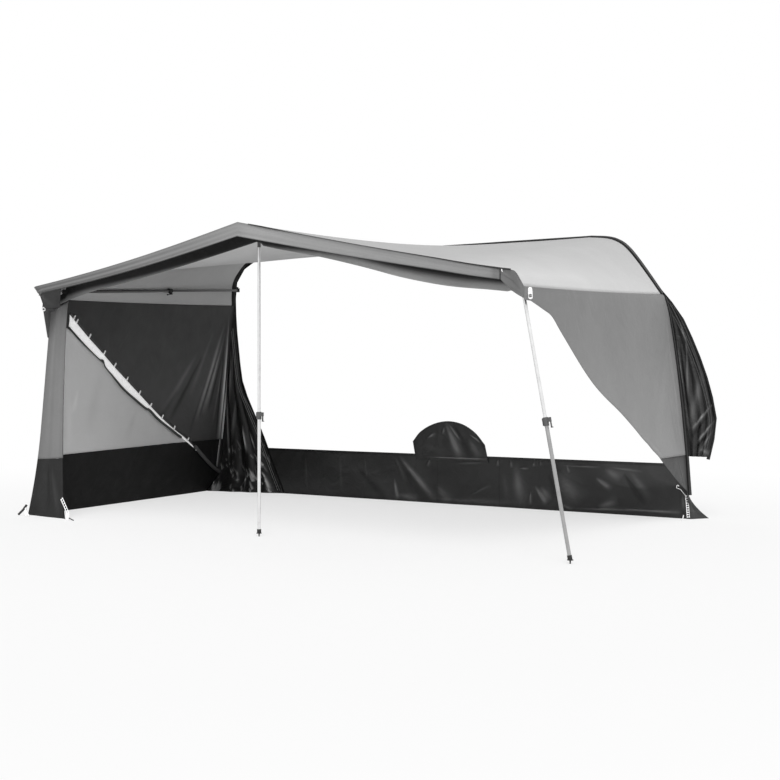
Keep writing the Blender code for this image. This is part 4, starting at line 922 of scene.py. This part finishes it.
upper, lower = evenly("upper"), evenly("lower")
lower[:, 1] = np.minimum(lower[:, 1], upper[:, 1] - 0.006)
across = column(9)
stripGrid = onLeftWall(mix(lower, upper, across[:, :, None]), stripShape["inside"])
puff = np.sin(np.pi * across) * (0.5 + 0.5 * softNoise(upper[:, 0] * 30, across * 3, 19, 3))
stripGrid[:, :, 0] += stripShape["puff"] * puff
# painted light: lighter where the facing puffs out, and its cloth glows faintly
clothPiece("toggleFacing", stripGrid, "facing", tone=0.95 + 0.1 * puff)
sideways = (1, 0, 0)
# a dark tube along the facing's lower edge, partly piping and partly a painted shadow under the facing, widening
# towards the rail
pipe = stripShape["panelPipingAndShadow"]
panelLine = onLeftWall(lower - (0, 0.006), pipe["inside"])[: pipe["columns"]]
panelThick = np.interp(np.arange(len(panelLine)), pipe["at"], pipe["radius"])
tube("panelPipingAndShadow", panelLine, panelThick, "pipingVinyl", 8, up=sideways)
pipe = stripShape["wingPiping"]
tube("wingPiping", onLeftWall(upper + (0.003, 0.01), pipe["inside"]), pipe["radius"], "pipingVinyl", 8, up=sideways)
rope = stripShape["hemRope"]
ropeLine = onLeftWall(smoothThrough(stripShape["rope"], 40), rope["inside"])
tube("hemRope", ropeLine, rope["radius"], "hemRope", 12, up=sideways)
# the toggles stand square to the joint
hardPiece("toggles", [tubeShape(middle + toggleBar[:, :1] * (0, 0.5, 0.866), toggleBar[:, 1], 8, up=sideways)
                      for middle in onLeftWall(stripShape["toggles"], stripShape["toggleLift"])], "paleNylon")

# Front return: a tapered, pleated band that turns the left corner
returnShape = {"drop": 0.1, "width": 0.12, "baseInner": 2.05, "waist": 0.045, "pleat": 0.01, "base": 0.015,
               "mud": 0.49, "columns": 40, "seam": 0.0003}


def returnSheet(heights):
    # heights are shares of the band's own, from the valance's lower line down
    floor = valanceLines(left)[1]
    outerX, outerY = floor[-1, :2]
    share, h = shares(returnShape["columns"]), np.asarray(heights)[:, None]
    topX = outerX - returnShape["width"] * share
    shelf = np.interp(visorShare, fineAlong, eavesLine(left)[:, 2]) - returnShape["drop"]
    topZ = mix(shelf, np.interp(topX, floor[:, 0], floor[:, 2]) - wall / 2, share)
    z = h * topZ
    outer = wallX(left, outerY, z[:, :1])
    inner = mix(returnShape["baseInner"], topX[-1], h) + returnShape["waist"] * np.sqrt(np.abs(np.sin(np.pi * h)))
    y = mix(mix(outerY, returnShape["base"], share), np.interp(topX, floor[:, 0], floor[:, 1]), h)
    pleat = np.sin(3 * np.pi * share) * mix(0.3, 1, h)
    # one doubled band sewn near the inner edge, and a diagonal fold low down
    band = np.exp(-(((share - 0.7) / 0.16) ** 4)) * mix(0.3, 1, smoothStep(h, 0.1, 0.4))
    low = foldField(share[None], h, [(620, 220, 860, 30, 60, 6), (480, 240, 600, 60, 50, -3)])
    # painted light and shade across the pleats and over the low fold, and lighter along the doubled band
    tone = mix(0.92, 1.12, band) * np.exp(low * 90) * (1 - 0.12 * np.cos(3 * np.pi * share) * h)
    grid = points(mix(outer, inner, share), y + returnShape["pleat"] * pleat - 0.002 * band - low, z)
    # much darker at the inner edge
    return onSide(grid, left), tone * mix(1, 0.35, smoothStep(share, 0.95, 1))


split = returnShape["mud"] / (awning["rightCorner"] - visorShape["cap"])
for name, node, cloth, heights in (
        ("frontReturn", "front_return", "returnBand", np.linspace(1, split + returnShape["seam"], 70)),
        ("frontReturnHem", "front_return_mud_hem", "returnHem", np.linspace(split - returnShape["seam"], 0, 50))):
    grid, tone = returnSheet(heights)
    clothPiece(name, grid, cloth, tone=tone, nodes=(node,))
print("side wall and front return done")

# Draught skirt and wheel arch cover; each fold is listed by x and height
skirtShape = {"wave": 0.01, "waves": 4.5, "crumple": 0.0013, "rows": 90, "columns": 760, "seams": (-0.094, 0.555)}
skirtFolds = [(-490, 400, -130, 50, 24, 10), (-530, 370, -230, 20, 50, -4), (-100, 160, 40, 30, 40, 6),
              (-70, 40, 670, 40, 22, 5), (270, 100, 460, 190, 10, 5), (720, 380, 780, 30, 50, 7),
              (870, 150, 870, 40, 9, 9), (920, 200, 1020, 60, 18, 10), (970, 200, 1060, 90, 30, 7),
              (760, 360, 840, 360, 7, 8), (540, 430, 540, 370, 10, 7), (670, 420, 680, 360, 12, 7),
              (900, 420, 900, 380, 10, 7), (960, 430, 970, 390, 8, 6), (130, 380, 420, 400, 12, 5),
              (-170, 420, -200, 340, 12, 6), (1150, 330, 1320, 80, 70, 6), (1500, 300, 1630, 220, 20, 9),
              (1580, 380, 1710, 310, 30, 4), (1760, 330, 1920, 110, 16, -8), (1820, 350, 1980, 150, 30, 4),
              (1520, 60, 1680, 110, 30, 8), (1300, 30, 1890, 50, 10, 8), (1800, 50, 2220, 50, 10, 8),
              (1160, 60, 1270, 20, 12, 6), (2260, 210, 2270, 70, 14, 7), (1200, 400, 1510, 400, 7, 7),
              (1640, 400, 1890, 380, 8, 4), (-1200, 380, -1180, 100, 12, 2), (-1620, 400, -1600, 100, 12, 2),
              (-960, 280, -670, 20, 30, -4), (-900, 360, -880, 200, 8, 3), (-560, 400, -440, 200, 16, 4),
              (-560, 200, -530, 20, 14, 8), (-520, 60, -300, 30, 30, 5), (600, 300, 640, 60, 30, 3),
              (1220, 400, 1240, 340, 10, 5), (1050, 300, 1100, 120, 20, -5)]
archShape = {"foot": 0.4, "ends": (-0.318, 0.445), "columns": 121, "rows": 70, "front": 0.006,
             "bow": [(-0.352, 0.57), (-0.265, 0.664), (-0.13, 0.734), (0.02, 0.764), (0.172, 0.742), (0.306, 0.668),
                     (0.408, 0.558)]}
archFolds = [(10, 740, 160, 440, 36, 9), (50, 730, 180, 580, 12, 11), (100, 720, 250, 460, 20, -8),
             (-190, 610, -110, 650, 12, 8), (-10, 710, -20, 650, 10, 8), (260, 650, 390, 570, 10, 10),
             (250, 600, 360, 450, 35, 6), (340, 620, 420, 510, 10, -8), (-230, 540, -10, 480, 30, 2),
             (-170, 430, 440, 430, 7, 10)]


def skirtWave(x, z):
    # stands out in slow waves between its two fixed ends, with small diagonal drags
    along = np.clip((x + awning["railHalf"]) / (2 * awning["railHalf"]), 0, 1)
    wave = 0.5 + 0.5 * np.sin(2 * np.pi * (skirtShape["waves"] * along + z / awning["skirt"]))
    small = 0.25 * softNoise(x * 7, z * 9, 31, 3)
    return skirtShape["wave"] * np.sin(np.pi * along) ** 2 * np.clip(wave + small, 0, 1.4)


def skirtField(x, z):
    # the listed folds with a crumple all over
    crumple = softNoise(x * 5, z * 8, 23, 3, 0.5) * skirtShape["crumple"]
    return np.maximum(foldField(x, z, skirtFolds, 1.5) + crumple, -0.008)


def foldTone(field, low):
    # painted light: lighter on the folds' crests and darker in their hollows, standing in for reflections on the glossy
    # vinyl
    return np.exp(np.clip(field, low, 0.011) * 235)


def skirtSheet():
    z = np.linspace(0, awning["skirt"], skirtShape["rows"])[:, None]
    rail = smoothThrough(left["rail"], 300)[::-1]
    start, end = -np.interp(z, rail[:, 1], rail[:, 0]), wallX(right, depth, z) - 0.001
    x = mix(start + 0.001, end, shares(skirtShape["columns"]))
    field = skirtField(x, z)
    fixed = smoothStep(awning["skirt"] - z, 0, 0.03) * smoothStep(end - x, 0, 0.05)
    y = depth - skirtWave(x, z) - np.clip(field, -0.004, 0.02) * 1.1 * fixed
    seams = sum(np.exp(-(((x - spot) / 0.004) ** 2)) for spot in skirtShape["seams"])
    # painted light and shade on the folds, with painted glossy patches below; seams darker, and darker along the top,
    # at the foot and at the right end
    tone = foldTone(field, -0.004) * (1 - 0.45 * seams) * (1 - 0.45 * smoothStep(z, 0.425, 0.435))
    tone = tone * mix(0.6, 1, smoothStep(z, 0, 0.05)) * mix(1, 0.55, smoothStep(x, 2.22, 2.26))
    paintedGloss = np.clip(softNoise(x * 2.6 + z * 2, z * 5, 61, 3, 0.6) - 0.1, 0, 1) * smoothStep(x, -1.9, 0.2)
    return points(x, y, z), np.clip(tone * (1 + 1.5 * paintedGloss), 0.3, 7)


def archSheet():
    # straight upright sides, corners at the shoulders, then a bow, filled down to a level foot
    count, ends = archShape["columns"], archShape["ends"]
    bow = smoothThrough(archShape["bow"], count - 20)
    low = np.linspace(0, 1, 10, endpoint=False)[:, None]
    start, end = ([spot, archShape["foot"]] for spot in ends)
    outline = np.vstack([mix(np.array(start), bow[0], low), bow, mix(np.array(end), bow[-1], low)[::-1]])
    foot = points(np.linspace(*ends, count), archShape["foot"])
    share = column(archShape["rows"])
    flat = mix(foot, outline, share[:, :, None])
    x, z = flat[:, :, 0], flat[:, :, 1]
    field = foldField(x, z, archFolds, 1.3) + softNoise(x * 9, z * 9, 51, 4, 0.6) * 0.0012
    # it lies over the skirt, and so over the skirt's folds
    onSkirt = np.minimum(z, awning["skirt"])
    under = np.clip(skirtField(x, onSkirt), 0, 0.02) * smoothStep(awning["skirt"] - z, 0, 0.03)
    y = depth - skirtWave(x, onSkirt) - wall - gap * 4 - archShape["front"] - 1.1 * under
    y = y - 1.2 * np.sin(np.pi * share) ** 0.5 * np.clip(field, -0.004, 0.02)
    # painted light on the folds, as on the skirt
    return points(x, y, z), np.clip(foldTone(field, -0.006), 0.3, 7)


skirtGrid, skirtTone = skirtSheet()
clothPiece("draughtSkirt", skirtGrid, "skirt", tone=skirtTone, nodes=("draught_skirt",))
archGrid, archTone = archSheet()
clothPiece("wheelArchCover", archGrid, "skirt", tone=archTone, nodes=("wheel_arch_cover",))
tube("archPiping", archGrid[-1] - (0, 0.001, 0), 0.004, "pipingVinyl", 8)
print("skirt done")

# Straps, pegs, hooks and rings
upright, cameraSide, toCamera = np.array([0, 0, 1.0]), np.array([0.844, 0.536, 0]), np.array([0.44, -0.9, 0])
hemSide = np.array([0.84, 0.54, 0])


def ladderShapes(top, bottom, width, rungs, side):
    # two cords and rungs between them, like a small rope ladder moulded in one
    top, bottom, side = np.array(top), np.array(bottom), np.array(side) * width
    shapes = [tubeShape(mix(top, bottom, column(12)) + side * way / 2, 0.003, 7, up=(0.3, 1, 0.2)) for way in (-1, 1)]
    for share in np.linspace(0.04, 0.96, rungs):
        rung = mix(top, bottom, share) + side * np.linspace(-0.5, 0.5, 4)[:, None]
        shapes.append(tubeShape(rung, 0.0034, 7, up=(0.2, 0.3, 1)))
    return shapes


def hookShape(place, size, side):
    # a half ring with a straight shank
    turn = np.linspace(-0.2, math.pi + 0.4, 14)[:, None]
    bow = place + size * (np.cos(turn) * side + np.sin(turn) * upright)
    shank = bow[-1] - np.linspace(0.1, 1, 5)[:, None] * upright * size * 1.6
    return tubeShape(np.vstack([bow, shank]), size * 0.26, 7, up=np.cross(side, upright))


tie = smoothThrough([(2.318, 2.492, 0.276), (2.322, 2.55, 0.262), (2.316, 2.62, 0.235), (2.302, 2.765, 0.18)], 16)
hardPiece("ladder.wing", ladderShapes((2.3, 2.77, 0.178), (2.312, 2.77, 0.012), 0.02, 9, hemSide)
          + [hookShape((2.3, 2.768, 0.184), 0.012, hemSide), hookShape((2.318, 2.492, 0.294), 0.008, hemSide),
             tubeShape(tie, 0.0021, 7, up=sideways),
             tubeShape([(2.336, 2.58, 0.052), (2.33, 2.585, 0.03), (2.318, 2.59, 0.006)], 0.004, 7)],
          "paleNylon", nodes=("ladder_strap_wing",))
hardPiece("ladder.returnInner", ladderShapes((-2.066, -0.012, 0.172), (-1.968, -0.03, 0.052), 0.024, 7, (0.78, 0, 0.62))
          + [slabShape((0.04, 0.05), 0.3, (-1.972, -0.034, 0.03), sideways, upright, 0.006)],
          "paleNylon", nodes=("ladder_strap_return_inner",))
hardPiece("pegs", [tubeShape([(-1.955, -0.036, 0.02), (-1.925, -0.04, 0.012), (-1.893, -0.044, 0.005)], 0.0045, 8),
                   tubeShape([(-2.498, -0.004, 0.092), (-2.534, -0.01, 0.05), (-2.582, -0.016, 0.01)], 0.01, 8)],
          "kederVinyl", nodes=("ladder_strap_return_outer",))
hardPiece("pegs.pale",
          [tubeShape([(-2.486, -0.02, 0.072), (-2.492, -0.022, 0.035), (-2.478, -0.024, 0.006)], 0.0075, 8),
           tubeShape([(-2.478, -0.022, 0.046), (-2.462, -0.024, 0.024), (-2.44, -0.026, 0.005)], 0.006, 8)],
          "paleNylon")
# ring where the left cap's tip is tied, the runner and the loop on the right corner
turn = np.linspace(0, 2 * math.pi, 25)[:-1, None]
ringLine = np.array([-2.246, -0.042, 1.742]) + 0.013 * (np.cos(turn) * cameraSide + np.sin(turn) * upright)
tube("cheekRing", ringLine, 0.0048, "paleNylon", 8, up=(0.536, -0.844, 0))
runner = {"spot": np.array([2.246, -0.07, 1.7105]), "size": (0.028, 0.076), "slant": np.array([0.05, 0.01, -1])}
slant = runner["slant"] / np.linalg.norm(runner["slant"])


def acrossRunner(drop, width, lift, radius):
    # a level bar across the runner, that far below its middle
    bend = np.linspace(-1, 1, 7)[:, None]
    path = runner["spot"] + slant * (drop - 0.004 * (1 - bend**2)) + bend * width / 2 * cameraSide + toCamera * lift
    return tubeShape(path, radius, 7, up=(0, 0, 1))


hardPiece("cornerRunner", [slabShape(runner["size"], 0.5, runner["spot"], cameraSide, -slant, 0.004)]
          + [acrossRunner(drop, 0.026, 0.003, 0.0026) for drop in (-0.026, -0.014, 0.006, 0.032)], "paleNylon")
# a dark tape behind the runner
tapeLine = mix(np.array([-0.03, 0.01, 0.036]), np.array([-0.018, 0.01, -0.03]), column(6)) + runner["spot"]
hardPiece("runnerSlots", [acrossRunner(drop, 0.017, 0.004, 0.0028) for drop in (0.014, 0.024)]
          + [tubeShape(tapeLine, 0.0085, 9)], "kederVinyl")
loop = [(2.146, -0.262, 1.838), (2.141, -0.264, 1.85), (2.139, -0.252, 1.858)]
tube("visorLoop", loop, 0.003, "paleNylon", 7, up=sideways)
print("small pieces done")

# Floor, light and surroundings
light = {"world": 0.62, "key": 1.55, "keyTurn": (38, 4, 28), "keySize": 35, "floorSpan": 60, "floorGrey": 0.9,
         "floorShadow": 0.35, "shadowReach": (4.5, 8)}


def whiteForCamera(tree):
    # 1 for the camera, a reflection or glass, to which the surroundings are plain white
    rays = addNode(tree, "LightPath").outputs
    bent = maths("MAXIMUM", rays["Is Glossy Ray"], rays["Is Transmission Ray"])
    return maths("MAXIMUM", rays["Is Camera Ray"], bent)


def mixedWhite(tree, share, first, second, output):
    mixed = addNode(tree, "MixShader", {0: share, 1: first.outputs[0], 2: second.outputs[0]})
    feed(tree.nodes[output].inputs[0], mixed.outputs[0])


world = bpy.data.worlds.new("surroundings")
bpy.context.scene.world = world
world.use_nodes = True
skyTree = world.node_tree
soft = skyTree.nodes["Background"]
feed(soft.inputs["Color"], (1, 1, 1, 1))
feed(soft.inputs["Strength"], light["world"])
white = addNode(skyTree, "Background", {"Color": (1, 1, 1, 1), "Strength": 1})
mixedWhite(skyTree, whiteForCamera(skyTree), soft, white, "World Output")

span = light["floorSpan"]
floorMesh = bpy.data.meshes.new("floor")
floorMesh.from_pydata([(-span, -span, 0), (span, -span, 0), (span, span, 0), (-span, span, 0)], [], [(0, 1, 2, 3)])
addObject("floor", floorMesh)
floorPaint = bpy.data.materials.new("floorPaint")
floorPaint.use_nodes = True
floorMesh.materials.append(floorPaint)
floorTree = floorPaint.node_tree
matt = floorTree.nodes["Principled BSDF"]
feed(matt.inputs["Base Color"], (light["floorGrey"],) * 3 + (1,))
feed(matt.inputs["Roughness"], 0.9)
feed(matt.inputs["Specular IOR Level"], 0)
glow = addNode(floorTree, "Emission", {"Strength": 1})
place = addNode(floorTree, "TexCoord").outputs["Object"]
far = addNode(floorTree, "VectorMath", {0: place}, operation="LENGTH").outputs["Value"]
shadow = spread(far, *light["shadowReach"], 1 - light["floorShadow"], 1)
mixedWhite(floorTree, times(whiteForCamera(floorTree), shadow), matt, glow, "Material Output")

sun = addObject("key", bpy.data.lights.new("key", "SUN"))
sun.data.energy = light["key"]
sun.data.angle = math.radians(light["keySize"])
sun.rotation_euler = [math.radians(angle) for angle in light["keyTurn"]]
print("light and floor done")
